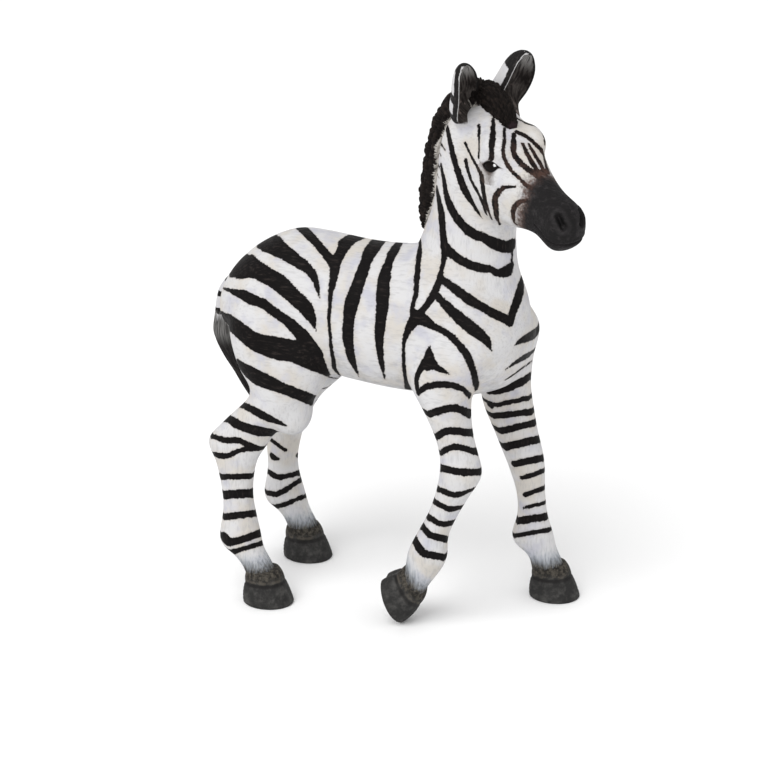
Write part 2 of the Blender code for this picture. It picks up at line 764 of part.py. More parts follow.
def tuft(count, position):
    """A sawtooth that leans up the neck: from 0 at the foot of each tuft to 1 at its tip."""
    return (position * count) % 1.0


def crest_point(rise):
    """A point on the back edge of the neck."""
    ahead, side, _, rear, _ = row_at(NECK_SLICE_SHARES, rise)
    return NECK_BASE + Vector((ahead, side, rise)) * NECK_RISE - AXIS_X * (rear * NECK_DEPTH)


def mane_mesh(name, grow=0.0):
    rows = smooth_rows(MANE_SLICE_SHARES, 5)
    crest = [crest_point(row[0]) for row in rows]
    rings = []
    for i, (rise, high, thick) in enumerate(rows):
        along = (crest[min(i + 1, len(rows) - 1)] - crest[max(i - 1, 0)]).normalized()
        out = along.cross(AXIS_Y)
        across = out.cross(along)
        crown = MANE_HEIGHT * high * (1 if grow else 1 - TUFT_SHARE * tuft(MANE_TUFTS, rise))
        half = MANE_THICKNESS / 2 * thick + grow
        rings.append(oval(crest[i], across, out, half, crown + grow, MANE_ROOT + grow, 12))
    return loft_mesh(name, rings)


# The forelock lies on the skull from the poll to the brow. Each row: along the head, height of
# its middle, thickness across, height out of the skull
FORELOCK_SLICE_SHARES = (
    (-0.16, 0.10, 0.75, 0.90),
    (-0.06, 0.17, 1.00, 1.00),
    (0.04, 0.20, 1.06, 1.00),
    (0.13, 0.20, 1.02, 0.88),
    (0.19, 0.18, 0.96, 0.70),
    (0.235, 0.155, 0.80, 0.48),
    (0.265, 0.135, 0.35, 0.20),
)
FORELOCK_TUFTS = 9


def forelock_mesh(name, grow=0.0):
    frame = head_frame()
    across, out = (frame.to_3x3() @ axis for axis in (AXIS_Y, AXIS_Z))
    rings = []
    for along, rise, wide, high in smooth_rows(FORELOCK_SLICE_SHARES, 3):
        notch = 0 if grow else TUFT_SHARE * tuft(FORELOCK_TUFTS, along / 0.3)
        centre = frame @ head_place(along, 0, rise)
        half = FORELOCK_THICKNESS / 2 * wide * (1 - notch / 2) + grow
        crown = FORELOCK_HEIGHT * high * (1 - notch) + grow
        rings.append(oval(centre, across, out, half, crown, MANE_ROOT * high + grow, 16))
    return loft_mesh(name, rings)


# The tail hangs against the rump. Each row: forward and down of the dock in tail lengths,
# half-thickness
TAIL_SLICE_SHARES = (
    (0.090, -0.040, 0.35),
    (0.045, 0.030, 0.60),
    (0.018, 0.140, 0.68),
    (-0.024, 0.320, 0.90),
    (-0.015, 0.460, 1.00),
    (0.075, 0.660, 0.82),
    (0.120, 0.780, 0.50),
    (0.150, 0.860, 0.20),
)
DOCK = trunk_place(0.000, 0, 0.625)


def tail_mesh(name, grow=0.0):
    rings = []
    for ahead, down, half in smooth_rows(TAIL_SLICE_SHARES):
        centre = DOCK + Vector((ahead, 0, -down)) * TAIL_LENGTH
        radius = TAIL_THICKNESS / 2 * half + grow
        rings.append(oval(centre, AXIS_Y, AXIS_X, radius, radius, radius, 14))
    return loft_mesh(name, rings)


def head_forms():
    forms = [neck_form(), head_form()]
    forms += paired_eggs("orbit", ORBIT_PLACE_SHARES, ORBIT_RADIUS_SHARES)
    forms += paired_eggs("jaw", JAW_PLACE_SHARES, JAW_RADIUS_SHARES)
    forms += paired_eggs("ear_boss", EAR_BOSS_PLACE_SHARES, EAR_BOSS_RADIUS_SHARES)
    return forms


def body_mouldings(white):
    """The trunk, the neck and the legs, all parted from one skin."""
    forms = [trunk_form(), *head_forms()]
    forms += [leg_form(name, *leg) for name, leg in LEGS.items()]
    skin = sculpted_skin("body_skin", forms, BODY_VOXEL, BODY_KEPT_SHARE)

    trunk = add_object("trunk", skin.copy(), white)
    seam = neck_seam()
    cut_beyond(trunk, "neck", seam)

    neck = add_object("neck", skin.copy(), white)
    cut_before(neck, "neck", seam)
    cut_beyond(neck, "head", head_seam())
    join(trunk, neck, "neck", seam, NECK_PEG_DIAMETER, NECK_PEG_LENGTH)

    legs = {}
    for name in LEGS:
        seam = leg_seam(name)
        leg = add_object(f"{name}leg", skin.copy(), white)
        boolean(leg, "INTERSECT", leg_quarter(name))
        join(trunk, leg, f"{name}leg", seam, LIMB_PEG_DIAMETER, LIMB_PEG_LENGTH)
        legs[name] = leg
    belly_seam = {"fore": leg_seam("left_fore"), "hind": leg_seam("left_hind")}
    for end, seam in belly_seam.items():
        toward = AXIS_X if end == "fore" else -AXIS_X
        middle = seam_at(toward * REACH + AXIS_Z * seam.translation.z, -AXIS_Z)
        cut_beyond(trunk, f"{end}legs", middle)
    return trunk, neck, legs


def hooves(legs, charcoal):
    for name, leg in legs.items():
        seam = hoof_seam(name)
        hoof = add_object(f"{name}_hoof", hoof_mesh(name), charcoal)
        cut_beyond(leg, f"{name}_hoof", seam, 2 * HOOF_LENGTH)
        join(leg, hoof, f"{name}_hoof", seam, HOOF_PEG_DIAMETER, HOOF_PEG_LENGTH)


def head_moulding(neck, white):
    skin = sculpted_skin("head_skin", head_forms(), HEAD_VOXEL, HEAD_KEPT_SHARE)
    head = add_object("head", skin, white)
    seam = head_seam()
    cut_before(head, "head", seam)
    join(neck, head, "head", head_peg_seat(), NECK_PEG_DIAMETER, NECK_PEG_LENGTH)
    for hand, side in SIDES.items():
        boolean(head, "DIFFERENCE", nostril(f"{hand}_nostril", side))
    boolean(head, "DIFFERENCE", mouth())
    return head


def ears(head, mane, forelock, black):
    for hand, side in SIDES.items():
        ear = add_object(f"{hand}_ear", ear_mesh(f"{hand}_ear", side), black)
        boolean(ear, "UNION", ear_root(f"{hand}_ear_root", side))
        boolean(head, "DIFFERENCE", ear_root(f"{hand}_ear_socket", side, JOINT_GAP))
        space = helper(ear_mesh(f"{hand}_ear_space", side, JOINT_GAP))
        for neighbour in (head, mane, forelock):
            boolean(neighbour, "DIFFERENCE", space)


def eyes(head, gloss):
    for hand, side in SIDES.items():
        add_object(f"{hand}_eye", eye_mesh(f"{hand}_eye", side), gloss)
        boolean(head, "DIFFERENCE", helper(eye_mesh(f"{hand}_eye_socket", side, EYE_GAP)))


def mane_and_forelock(neck, head, dark):
    seam = poll_seam()
    mane = add_object("neck_mane", mane_mesh("neck_mane"), dark)
    cut_beyond(mane, "mane_end", seam)
    groove = helper(mane_mesh("mane_groove", JOINT_GAP))
    boolean(neck, "DIFFERENCE", groove)
    boolean(head, "DIFFERENCE", groove)
    forelock = add_object("forelock", forelock_mesh("forelock"), dark)
    cut_before(forelock, "forelock_end", seam)
    boolean(head, "DIFFERENCE", helper(forelock_mesh("forelock_groove", JOINT_GAP)))
    return mane, forelock


def tail_moulding(trunk, dark):
    add_object("tail", tail_mesh("tail"), dark)
    boolean(trunk, "DIFFERENCE", helper(tail_mesh("tail_recess", JOINT_GAP)))


def stand_on_origin():
    """Carry everything by one empty, so that the origin lies under the middle of the figure's box."""
    graph = bpy.context.evaluated_depsgraph_get()
    corners = []
    for obj in bpy.data.objects:
        if not obj.hide_render:
            mesh = obj.evaluated_get(graph).data
            points = np.empty(len(mesh.vertices) * 3, np.float32)
            mesh.vertices.foreach_get("co", points)
            points = points.reshape(-1, 3)
            corners += [points.min(0), points.max(0)]
    low, high = np.min(corners, 0), np.max(corners, 0)
    foal = bpy.data.objects.new("foal", None)
    bpy.context.scene.collection.objects.link(foal)
    for obj in bpy.data.objects:
        if obj is not foal:
            obj.parent = foal
    foal.location = (-(low[0] + high[0]) / 2, -(low[1] + high[1]) / 2, -low[2])


def main():
    clear_scene()
    white = material("painted_white", (0.80, 0.79, 0.78), 0.55)
    dark = material("mane_brown_black", (0.022, 0.017, 0.015), 0.65)
    charcoal = material("hoof_charcoal", (0.035, 0.034, 0.032), 0.60)
    black = material("ear_black", (0.030, 0.027, 0.027), 0.60)
    gloss = material("eye_gloss", (0.006, 0.005, 0.005), 0.12)
    trunk, neck, legs = body_mouldings(white)
    hooves(legs, charcoal)
    head = head_moulding(neck, white)
    eyes(head, gloss)
    mane, forelock = mane_and_forelock(neck, head, dark)
    ears(head, mane, forelock, black)
    tail_moulding(trunk, dark)
    stand_on_origin()


main()
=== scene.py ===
import math

import bpy
import numpy as np
from mathutils import Matrix, Vector
from mathutils.bvhtree import BVHTree


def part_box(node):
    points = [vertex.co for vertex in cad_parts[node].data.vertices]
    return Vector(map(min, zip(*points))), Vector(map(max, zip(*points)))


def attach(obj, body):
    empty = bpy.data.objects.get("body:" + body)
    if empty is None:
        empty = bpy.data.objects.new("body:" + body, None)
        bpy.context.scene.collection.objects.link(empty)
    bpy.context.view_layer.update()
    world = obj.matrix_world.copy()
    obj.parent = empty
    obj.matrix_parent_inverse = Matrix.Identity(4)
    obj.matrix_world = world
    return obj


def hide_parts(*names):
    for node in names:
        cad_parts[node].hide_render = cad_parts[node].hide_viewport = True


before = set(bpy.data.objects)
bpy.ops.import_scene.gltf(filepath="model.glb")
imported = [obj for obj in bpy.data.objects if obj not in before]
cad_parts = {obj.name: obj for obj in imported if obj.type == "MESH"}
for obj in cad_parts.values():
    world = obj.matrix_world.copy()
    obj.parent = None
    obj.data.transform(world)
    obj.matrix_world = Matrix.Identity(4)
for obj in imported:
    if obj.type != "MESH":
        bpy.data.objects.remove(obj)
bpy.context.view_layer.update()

# The trunk
# Chest, barrel and rump of the foal, a solid casting in off-white plastic with its stripes
# brushed on by hand. It is one sculpt with the neck, head and legs, which are glued to it.
MM = 0.001
WITHERS_HEIGHT = 59.6
TRUNK_LENGTH = 50.6
TRUNK_DEPTH = 23.0
TRUNK_WIDTH = 20.6
TRUNK_REAR = -0.518 * TRUNK_LENGTH
BELLY_HEIGHT = WITHERS_HEIGHT - TRUNK_DEPTH
# along the trunk, top and bottom above the belly line, half-width
TRUNK_SLICE_SHARES = (
    (0.000, 0.50, 0.36, 0.10),
    (0.012, 0.58, 0.27, 0.42),
    (0.055, 0.72, 0.21, 0.66),
    (0.130, 0.86, 0.10, 0.85),
    (0.230, 0.96, 0.03, 0.97),
    (0.340, 0.958, 0.02, 0.98),
    (0.460, 0.934, -0.01, 0.99),
    (0.580, 0.941, -0.03, 1.00),
    (0.700, 0.990, -0.03, 0.98),
    (0.810, 0.960, -0.01, 0.93),
    (0.893, 0.830, 0.05, 0.82),
    (0.942, 0.690, 0.12, 0.66),
    (0.970, 0.570, 0.24, 0.42),
    (0.980, 0.470, 0.38, 0.12),
)
TRUNK_MIDDLE_SHARE = 0.46
ASIDE, AHEAD, UPWARD = np.array((0.0, 1, 0)), np.array((1.0, 0, 0)), np.array((0.0, 0, 1))
RIGHT, LEFT = -1, 1


def flowing(rows, steps):
    """A table with steps - 1 rows more in each gap, on the Catmull-Rom curve through its rows:
    half of 2b + (c - a)t + (2a - 5b + 4c - d)t^2 + (3b - a - 3c + d)t^3."""
    rows = np.asarray(rows, float)
    rows = np.vstack([2 * rows[0] - rows[1], rows, 2 * rows[-1] - rows[-2]])
    a, b, c, d = (rows[i : len(rows) - 3 + i, None] for i in range(4))
    t = (np.arange(steps) / steps)[None, :, None]
    curve = 2 * b + (c - a) * t + (2 * a - 5 * b + 4 * c - d) * t**2 + (3 * b - a - 3 * c + d) * t**3
    return np.vstack([curve.reshape(-1, rows.shape[1]) / 2, rows[-2]])


def ovals(centre, across, along, half, fore, rear, sides=56, power=1.0):
    """Egg-shaped rings, one to a row: centre + across * half * cos(angle) + along * reach * sin(angle),
    where reach is fore ahead of the centre and rear behind it. A power under 1 fills the corners."""
    angle = 2 * np.pi * np.arange(sides) / sides
    aside = np.sign(np.cos(angle)) * np.abs(np.cos(angle)) ** power
    ahead = np.sign(np.sin(angle)) * np.abs(np.sin(angle)) ** power
    half, fore, rear = (np.broadcast_to(x, len(centre))[:, None, None] for x in (half, fore, rear))
    across, along = (np.broadcast_to(x, centre.shape)[:, None] for x in (across, along))
    reach = np.where(ahead[None, :, None] > 0, fore, rear)
    return centre[:, None] + across * half * aside[None, :, None] + along * reach * ahead[None, :, None]


def closed_shell(rings):
    """Points and faces of the surface through a grid of rings, with a fan of triangles over each end.
    The faces are turned outwards if the volume that they enclose comes out negative."""
    count, sides = rings.shape[:2]
    index = np.arange(count * sides).reshape(count, sides)
    after = np.roll(index, -1, 1)
    quads = np.stack([index[:-1], after[:-1], after[1:], index[1:]], -1).reshape(-1, 4)
    points = np.vstack([rings.reshape(-1, 3), rings[0].mean(0), rings[-1].mean(0)])
    first = np.stack([after[0], index[0], np.full(sides, len(points) - 2)], -1)
    last = np.stack([index[-1], after[-1], np.full(sides, len(points) - 1)], -1)
    fans = np.vstack([first, last])
    a, b, c = (points[np.vstack([quads[:, (0, 1, 2)], quads[:, (0, 2, 3)], fans])[:, k]] for k in range(3))
    if np.einsum("ij,ij->i", a, np.cross(b, c)).sum() < 0:
        quads, fans = quads[:, ::-1], fans[:, ::-1]
    return points, quads, fans


def trunk_place(along, side, rise):
    ahead, up = TRUNK_REAR + TRUNK_LENGTH * along, BELLY_HEIGHT + TRUNK_DEPTH * rise
    return np.array((ahead, TRUNK_WIDTH * side, up))


def trunk_rings():
    """Upright slices from the buttocks to the breast."""
    along, top, bottom, half = flowing(TRUNK_SLICE_SHARES, 6).T
    middle = TRUNK_MIDDLE_SHARE * top + (1 - TRUNK_MIDDLE_SHARE) * bottom
    rise, fall = TRUNK_DEPTH * (top - middle), TRUNK_DEPTH * (middle - bottom)
    centre = trunk_place(along, 0 * along, middle).T
    return ovals(centre, ASIDE, UPWARD, TRUNK_WIDTH / 2 * half, rise, fall)


# The brush strokes of each moulding are rows of x and y in pixels of the photograph, and width.
# A stroke starts at its first row. Those of the trunk:
TRUNK_STROKES = {
    "rump_top": (
        (267, 241, 18), (284, 252, 15.5), (297, 261, 13), (308, 269, 10.5), (315, 280, 7), (320, 298, 1),
    ),
    "rump": (
        (238, 265, 22), (252, 268, 20), (264, 274, 17.5), (279, 283, 17.5), (291, 294, 16),
        (304, 306, 15), (311, 317, 10), (316, 331, 1),
    ),
    "haunch_branch": (
        (223, 288, 2), (234, 292, 6), (243, 295, 10), (253, 300, 11), (263, 303.5, 10),
        (274, 312, 9.5), (286, 320, 10), (297, 330, 12), (307, 341, 14), (315, 353, 15),
    ),
    "haunch": (
        (225, 319, 12), (238, 329, 14), (252, 340, 17), (266, 345.6, 21), (280, 349, 23),
        (293, 351, 22), (307, 355, 25), (319, 366, 14), (329, 376, 3),
    ),
    "fork_rear_arm": ((301, 227, 9), (312, 238, 8), (321, 248, 8), (329, 258, 9), (335, 264, 12)),
    "fork_front_arm": ((356, 237, 13), (347, 242, 12), (340, 254, 10), (335, 262, 12)),
    "fork_stem": (
        (335, 263, 12), (334, 276, 8.5), (331, 290, 6), (330, 304, 4), (329, 318, 3.5), (330, 332, 3.5),
        (331, 346, 3.5), (333, 357, 4), (335, 369, 4), (340, 376, 2),
    ),
    "flank": (
        (379, 240, 11), (370.5, 252, 12), (365.6, 263, 11), (361, 276, 12.5), (356, 290, 13),
        (351.5, 304, 14.5), (349, 318, 12), (348, 332, 12), (349, 346, 9.5), (352, 360, 7), (359, 377, 1),
    ),
    "ribs": (
        (400, 241, 5.5), (394, 251, 8), (389, 262, 8), (384.5, 276, 12), (383, 290, 13.5),
        (382.4, 304, 13), (381, 318, 11), (379.6, 332, 10), (379.6, 346, 8), (381, 360, 6), (385, 380, 1),
    ),
    "shoulder_edge": (
        (418.5, 231, 4), (420, 245, 5), (418.5, 260, 5.5), (417, 277, 6), (415.5, 295, 5.5),
        (412.5, 309, 5), (415, 318, 12), (407, 332, 7), (403.5, 345, 4), (403.5, 357, 3.5),
        (404.5, 370, 4), (408, 389, 5),
    ),
    "shoulder_arch": (
        (413, 319, 9), (422, 319, 13), (432, 325.5, 8), (448, 334, 7), (460.7, 346.8, 7.5),
        (468, 357.5, 8), (473, 370, 7), (476, 384, 5), (476, 390, 3),
    ),
    "shoulder_peak": ((429.5, 346, 2), (429, 357, 10), (427.5, 364, 13)),
    "shoulder_rear_leg": ((427, 362, 12), (420.5, 369, 6.5), (416.5, 380, 5), (418, 393, 5)),
    "shoulder_front_leg": ((429.5, 361, 12), (437.5, 368, 7), (450, 374.5, 2)),
    "breast_side": (
        (434, 291.5, 6), (444.6, 304, 9), (455.4, 314.6, 11), (466, 323.6, 13), (477, 332.5, 12),
        (486, 340, 9), (492, 351, 1),
    ),
    "breast_far_top": ((540, 321, 4), (537.5, 331, 8), (528.6, 337, 7), (519.6, 341.4, 4), (514, 346, 1)),
    "breast_far_middle": ((537, 347, 3), (530, 354, 5), (521, 359, 5), (512.5, 364.6, 3), (505, 370, 1)),
    "breast_far_hair": ((532, 361, 2), (521, 369, 3), (512.5, 375.4, 2.5), (505, 380, 1.5)),
    "breast_far_low": ((532, 375, 7), (523, 381, 8), (512.5, 386, 7), (500, 391, 5), (487.5, 393, 3)),
    "groin_top": ((329, 377, 1.5), (333, 378, 1.5), (338, 378.4, 1.5)),
    "groin": ((323, 388.6, 1.5), (327, 387.5, 1.5), (331, 384.8, 1)),
}

# The neck
# A moulding that is glued on a round peg between the withers and the breast.
NECK_RISE = 30.0
NECK_DEPTH = 12.4
NECK_WIDTH = 10.4
NECK_BASE = np.array((TRUNK_REAR + TRUNK_LENGTH * 0.787, 0, WITHERS_HEIGHT - 0.42 * NECK_RISE))
# height, forward, side, half-depth to the fore and to the rear, half-width
NECK_SLICE_SHARES = (
    (0.00, -0.02, 0.00, 0.83, 0.80, 1.20),
    (0.16, 0.00, 0.00, 0.76, 0.78, 1.20),
    (0.32, 0.01, 0.00, 0.59, 0.73, 1.10),
    (0.48, 0.02, 0.00, 0.53, 0.62, 1.00),
    (0.64, 0.03, 0.00, 0.52, 0.51, 0.94),
    (0.80, 0.03, -0.01, 0.50, 0.46, 0.90),
    (0.95, 0.04, -0.02, 0.46, 0.43, 0.86),
    (1.08, 0.06, -0.03, 0.36, 0.34, 0.72),
    (1.14, 0.10, -0.03, 0.22, 0.20, 0.50),
    (1.17, 0.13, -0.03, 0.10, 0.08, 0.26),
)
NECK_SEAM_PLACE = NECK_BASE + np.array((0.062, 0, 0.30)) * NECK_RISE
NECK_SEAM_WAY = np.array((0.50, 0, 0.87))


def neck_rings():
    """Level slices from inside the breast to the poll."""
    rise, ahead, side, fore, rear, half = flowing(NECK_SLICE_SHARES, 6).T
    centre = NECK_BASE + np.stack([ahead, side, rise], 1) * NECK_RISE
    return ovals(centre, ASIDE, AHEAD, NECK_WIDTH / 2 * half, NECK_DEPTH * fore, NECK_DEPTH * rear)


NECK_STROKES = {
    "neck_rear": (
        (436.6, 189, 6), (440, 206, 7), (442, 220, 7), (443, 234, 7), (444, 245, 8), (444, 256, 6),
        (442, 268, 5), (438, 284, 7), (432, 297, 8), (425, 307.5, 7), (419, 316, 9),
    ),
    "breast_v": (
        (442, 279, 7), (453.6, 288, 9), (468, 298.6, 10.5), (480, 305.7, 9), (493, 313, 9.5),
        (503.6, 318, 9), (510, 322, 8),
    ),
    "breast_v_far_arm": ((510, 322, 8), (514, 309, 8), (518, 298.6, 8.5), (521.4, 286, 8), (522.5, 276, 4)),
    "neck_low": (
        (446, 248, 10), (455.4, 256.6, 9), (468, 263.8, 9), (480, 268, 9.5), (489, 269, 8),
        (498, 272.7, 8), (507, 271, 11), (512.5, 265, 4),
    ),
    "neck_low_edge": ((511.5, 265, 3), (512.5, 250, 3), (513, 240, 3)),
    "neck_high": (
        (441, 166, 4), (444, 182, 5), (447, 198, 6), (452, 210, 8), (460, 222, 9), (471, 232.5, 10),
        (484, 238, 10), (496, 244, 12.5), (507, 247, 12), (514, 243.5, 8),
    ),
    "mane_tick_a": ((437, 140, 4), (441, 144, 2.5), (445, 150, 1)),
    "mane_tick_b": ((435, 146, 4), (438, 150, 2.5), (441, 156, 1)),
    "mane_tick_c": ((434, 162, 4), (438, 165, 2.5), (441, 170, 1)),
    "mane_tick_d": ((432, 168, 4), (436, 172, 2.5), (439, 178, 1)),
    "throat": (
        (447, 128, 5), (449.6, 140, 5), (453.6, 158, 6), (458, 172, 6.5), (464, 187.5, 7),
        (471, 200, 6), (478, 212, 3), (482, 218, 1),
    ),
}

# The head
# A moulding turned to the foal's right, glued to the neck behind the ears and at the throat. The
# muzzle is brushed solid black-brown, with a dry-brushed fringe.
HEAD_LENGTH = 23.5
HEAD_DEPTH = 12.6
HEAD_WIDTH = 10.4
MUZZLE_WIDTH = 6.6
HEAD_TURN, HEAD_BOW, HEAD_TILT = math.radians(-36), math.radians(17), math.radians(3)
POLL = NECK_BASE + np.array((0.10, -0.027, 1.085)) * NECK_RISE
SKULL_POWER = 0.80
# along the face, top and bottom below the brow line, half-width
HEAD_SLICE_SHARES = (
    (-0.100, -0.12, -0.46, 0.32),
    (-0.060, 0.09, -0.66, 0.64),
    (0.030, 0.20, -0.86, 0.88),
    (0.150, 0.19, -1.00, 0.95),
    (0.280, 0.13, -1.04, 0.96),
    (0.400, 0.05, -0.99, 0.87),
    (0.520, -0.03, -0.90, 0.72),
    (0.640, -0.10, -0.80, 0.60),
    (0.760, -0.14, -0.74, 0.55),
    (0.870, -0.15, -0.74, 0.59),
    (0.940, -0.18, -0.73, 0.60),
    (0.985, -0.26, -0.67, 0.50),
    (1.010, -0.36, -0.56, 0.25),
)
ORBIT = ((0.285, 0.58, -0.06), (0.15, 0.36, 0.20))
EAR_BOSS = ((-0.02, 0.58, -0.13), (0.10, 0.34, 0.18))
JAW = ((0.20, 0.52, -0.60), (0.17, 0.42, 0.42))
head_axes = (
    Matrix.Translation(POLL)
    @ Matrix.Rotation(HEAD_TURN, 4, "Z")
    @ Matrix.Rotation(HEAD_BOW, 4, "Y")
    @ Matrix.Rotation(HEAD_TILT, 4, "X")
)
HEAD_UNITS = np.array((HEAD_LENGTH, HEAD_WIDTH / 2, HEAD_DEPTH))


def carried(axes, points):
    """Points times a 4 by 4 matrix."""
    axes = np.array(axes)
    return points @ axes[:3, :3].T + axes[:3, 3]


def head_place(along, side, rise):
    return np.array((along, side, rise)) * HEAD_UNITS


def side_place(place, side):
    """The same place on the right or on the left of the head."""
    return head_place(place[0], side * place[1], place[2])


def in_head(points):
    """Points of the figure as the head's own axes see them, in millimetres."""
    return carried(head_axes.inverted(), points)


HEAD_SEAM_PLACE = carried(head_axes, head_place(-0.053, 0, -0.58))
HEAD_SEAM_WAY = np.array(head_axes.to_3x3() @ Vector((0.63, 0, 0.77)))


def head_rings():
    """Slices square to the face line, carried into place by the head's axes."""
    along, top, bottom, half = flowing(HEAD_SLICE_SHARES, 6).T
    centre = np.stack([along, 0 * along, (top + bottom) / 2], 1) * HEAD_UNITS
    reach = HEAD_DEPTH * (top - bottom) / 2
    rings = ovals(centre, ASIDE, UPWARD, HEAD_WIDTH / 2 * half, reach, reach, power=SKULL_POWER)
    return carried(head_axes, rings)


def ball_rings(middle, radii):
    """A ball stretched along each axis: radius * (sin a, cos a cos b, cos a sin b) over latitude a
    and longitude b."""
    a = np.linspace(-np.pi / 2, np.pi / 2, 20)[:, None]
    b = 2 * np.pi * np.arange(32)[None] / 32
    unit = np.stack([np.sin(a) + 0 * b, np.cos(a) * np.cos(b), np.cos(a) * np.sin(b)], -1)
    return middle + unit * radii


def egg_rings(place, radii, side):
    """A ball stretched along the head's axes."""
    return carried(head_axes, ball_rings(side_place(place, side), head_place(*radii)))


HEAD_STROKES = {
    "cheek_rear": (
        (466, 161, 4.5), (468, 170.5, 4.5), (472, 182, 4), (478, 193, 4), (483, 204, 4), (486, 214, 3),
    ),
    "cheek_front": (
        (465, 143, 2.5), (470.7, 155, 3), (476, 165, 3), (481, 175, 4.5), (482.6, 186, 5),
        (484, 196, 4.5), (487, 207, 4), (492, 220, 1.5),
    ),
    "jaw_crescent": (
        (515, 187, 2.5), (506, 187, 4), (499, 191.5, 5.5), (495, 200, 6), (496, 210, 5.5),
        (497, 219, 4), (500, 224, 2),
    ),
    "chin_crescent": (
        (527, 200.7, 4), (520, 202, 4.5), (515, 207, 5), (513, 212.6, 4.5), (514, 222, 3), (517, 224.5, 1.5),
    ),
    "temple": ((479, 125.6, 3), (479, 138, 3), (479, 149, 2.5), (478.4, 158, 2)),
    "brow": ((493, 118.6, 3.5), (493, 131, 5.5), (491.7, 144, 6), (490.3, 158, 5.5)),
    "face_outer": (
        (504.4, 128.4, 3), (504.4, 141, 3.5), (503, 152, 4), (506, 162, 4.5), (511.4, 170.5, 4),
        (520, 179, 4), (528, 186.5, 4.5), (537, 192, 6),
    ),
    "face_inner": (
        (514, 134, 4.5), (513.5, 144, 5.5), (514, 153.6, 6), (520, 162, 6), (528, 169, 6),
        (537, 175, 6), (542, 179, 5),
    ),
    "nose_near": ((522.6, 144, 3), (528, 155, 4.5), (534, 165, 5), (540, 174, 4)),
    "nose_middle": ((529, 144.5, 2.5), (535, 155, 4), (541, 165, 4), (545, 174, 4)),
    "nose_far": (
        (517, 132, 4), (527, 137, 4), (535, 144, 4), (542, 152, 4), (545, 160.7, 3.5), (548, 173, 4),
    ),
    "far_orbit": (
        (517.7, 118.6, 3), (527, 123.5, 3), (535, 126, 3), (540.8, 131, 3), (544, 137, 2.5), (545, 144, 2),
    ),
}

# The legs
# Four mouldings glued under the trunk on round pegs. Three stand straight; the right fore is bent
# at the knee and fetlock. The master has tendons, joints and a tuft behind each fetlock.
FORE_CANNON = (4.5, 4.3)
HIND_CANNON = (5.3, 4.3)
SEAM_DROP = {"fore": 1.4, "hind": 2.5}
FORE_ROOT = trunk_place(0.8142, 0.291, 0)
HIND_ROOT = trunk_place(0.2117, 0.223, 0)
FORELEG_HEIGHT = WITHERS_HEIGHT - 0.548 * TRUNK_DEPTH
HINDLEG_HEIGHT = WITHERS_HEIGHT - 0.374 * TRUNK_DEPTH
# height, forward and outward of the leg's root, half-depth, half-width
FORE_STRAIGHT_SHARES = (
    (1.082, -0.010, -0.015, 1.20, 0.75),
    (0.980, 0.002, 0.010, 1.70, 1.00),
    (0.857, 0.018, 0.026, 1.27, 1.00),
    (0.755, 0.040, 0.036, 0.92, 0.92),
    (0.673, 0.052, 0.046, 0.90, 0.78),
    (0.591, 0.076, 0.051, 0.80, 0.70),
    (0.510, 0.102, 0.056, 0.73, 0.66),
    (0.459, 0.115, 0.059, 0.66, 0.60),
    (0.367, 0.130, 0.063, 0.53, 0.50),
    (0.285, 0.136, 0.067, 0.56, 0.54),
    (0.220, 0.137, 0.069, 0.77, 0.66),
    (0.178, 0.146, 0.071, 0.76, 0.60),
    (0.152, 0.172, 0.074, 0.60, 0.54),
    (0.100, 0.192, 0.078, 0.60, 0.60),
    (0.030, 0.196, 0.082, 0.68, 0.64),
)
FORE_BENT_SHARES = (
    (1.082, -0.031, -0.015, 1.20, 0.75),
    (0.980, -0.031, 0.010, 1.75, 1.00),
    (0.857, -0.060, 0.026, 1.15, 0.98),
    (0.765, -0.036, 0.036, 0.80, 0.88),
    (0.683, -0.010, 0.041, 0.66, 0.72),
    (0.612, 0.010, 0.043, 0.68, 0.68),
    (0.556, 0.015, 0.044, 0.74, 0.72),
    (0.489, -0.010, 0.044, 0.62, 0.60),
    (0.408, -0.045, 0.044, 0.54, 0.52),
    (0.326, -0.082, 0.044, 0.58, 0.54),
    (0.260, -0.097, 0.044, 0.73, 0.62),
    (0.214, -0.108, 0.044, 0.66, 0.56),
    (0.173, -0.128, 0.044, 0.58, 0.54),
    (0.132, -0.154, 0.044, 0.58, 0.56),
    (0.091, -0.176, 0.044, 0.62, 0.60),
)
HIND_TOP_SHARES = (
    (1.031, 0.020, -0.041, 0.90, 0.60),
    (0.959, 0.012, 0.000, 1.45, 1.15),
    (0.857, 0.018, 0.025, 1.57, 1.25),
    (0.755, 0.032, 0.041, 1.38, 1.16),
    (0.674, 0.035, 0.051, 0.98, 0.95),
)
RIGHT_HIND_SHARES = HIND_TOP_SHARES + (
    (0.572, -0.062, 0.057, 0.90, 0.74),
    (0.500, -0.116, 0.061, 0.95, 0.65),
    (0.439, -0.119, 0.065, 0.64, 0.60),
    (0.347, -0.114, 0.070, 0.49, 0.53),
    (0.286, -0.107, 0.074, 0.51, 0.55),
    (0.205, -0.103, 0.079, 0.66, 0.65),
    (0.170, -0.096, 0.081, 0.66, 0.60),
    (0.143, -0.066, 0.082, 0.54, 0.54),
    (0.098, -0.034, 0.086, 0.47, 0.57),
    (0.031, -0.018, 0.088, 0.52, 0.60),
)
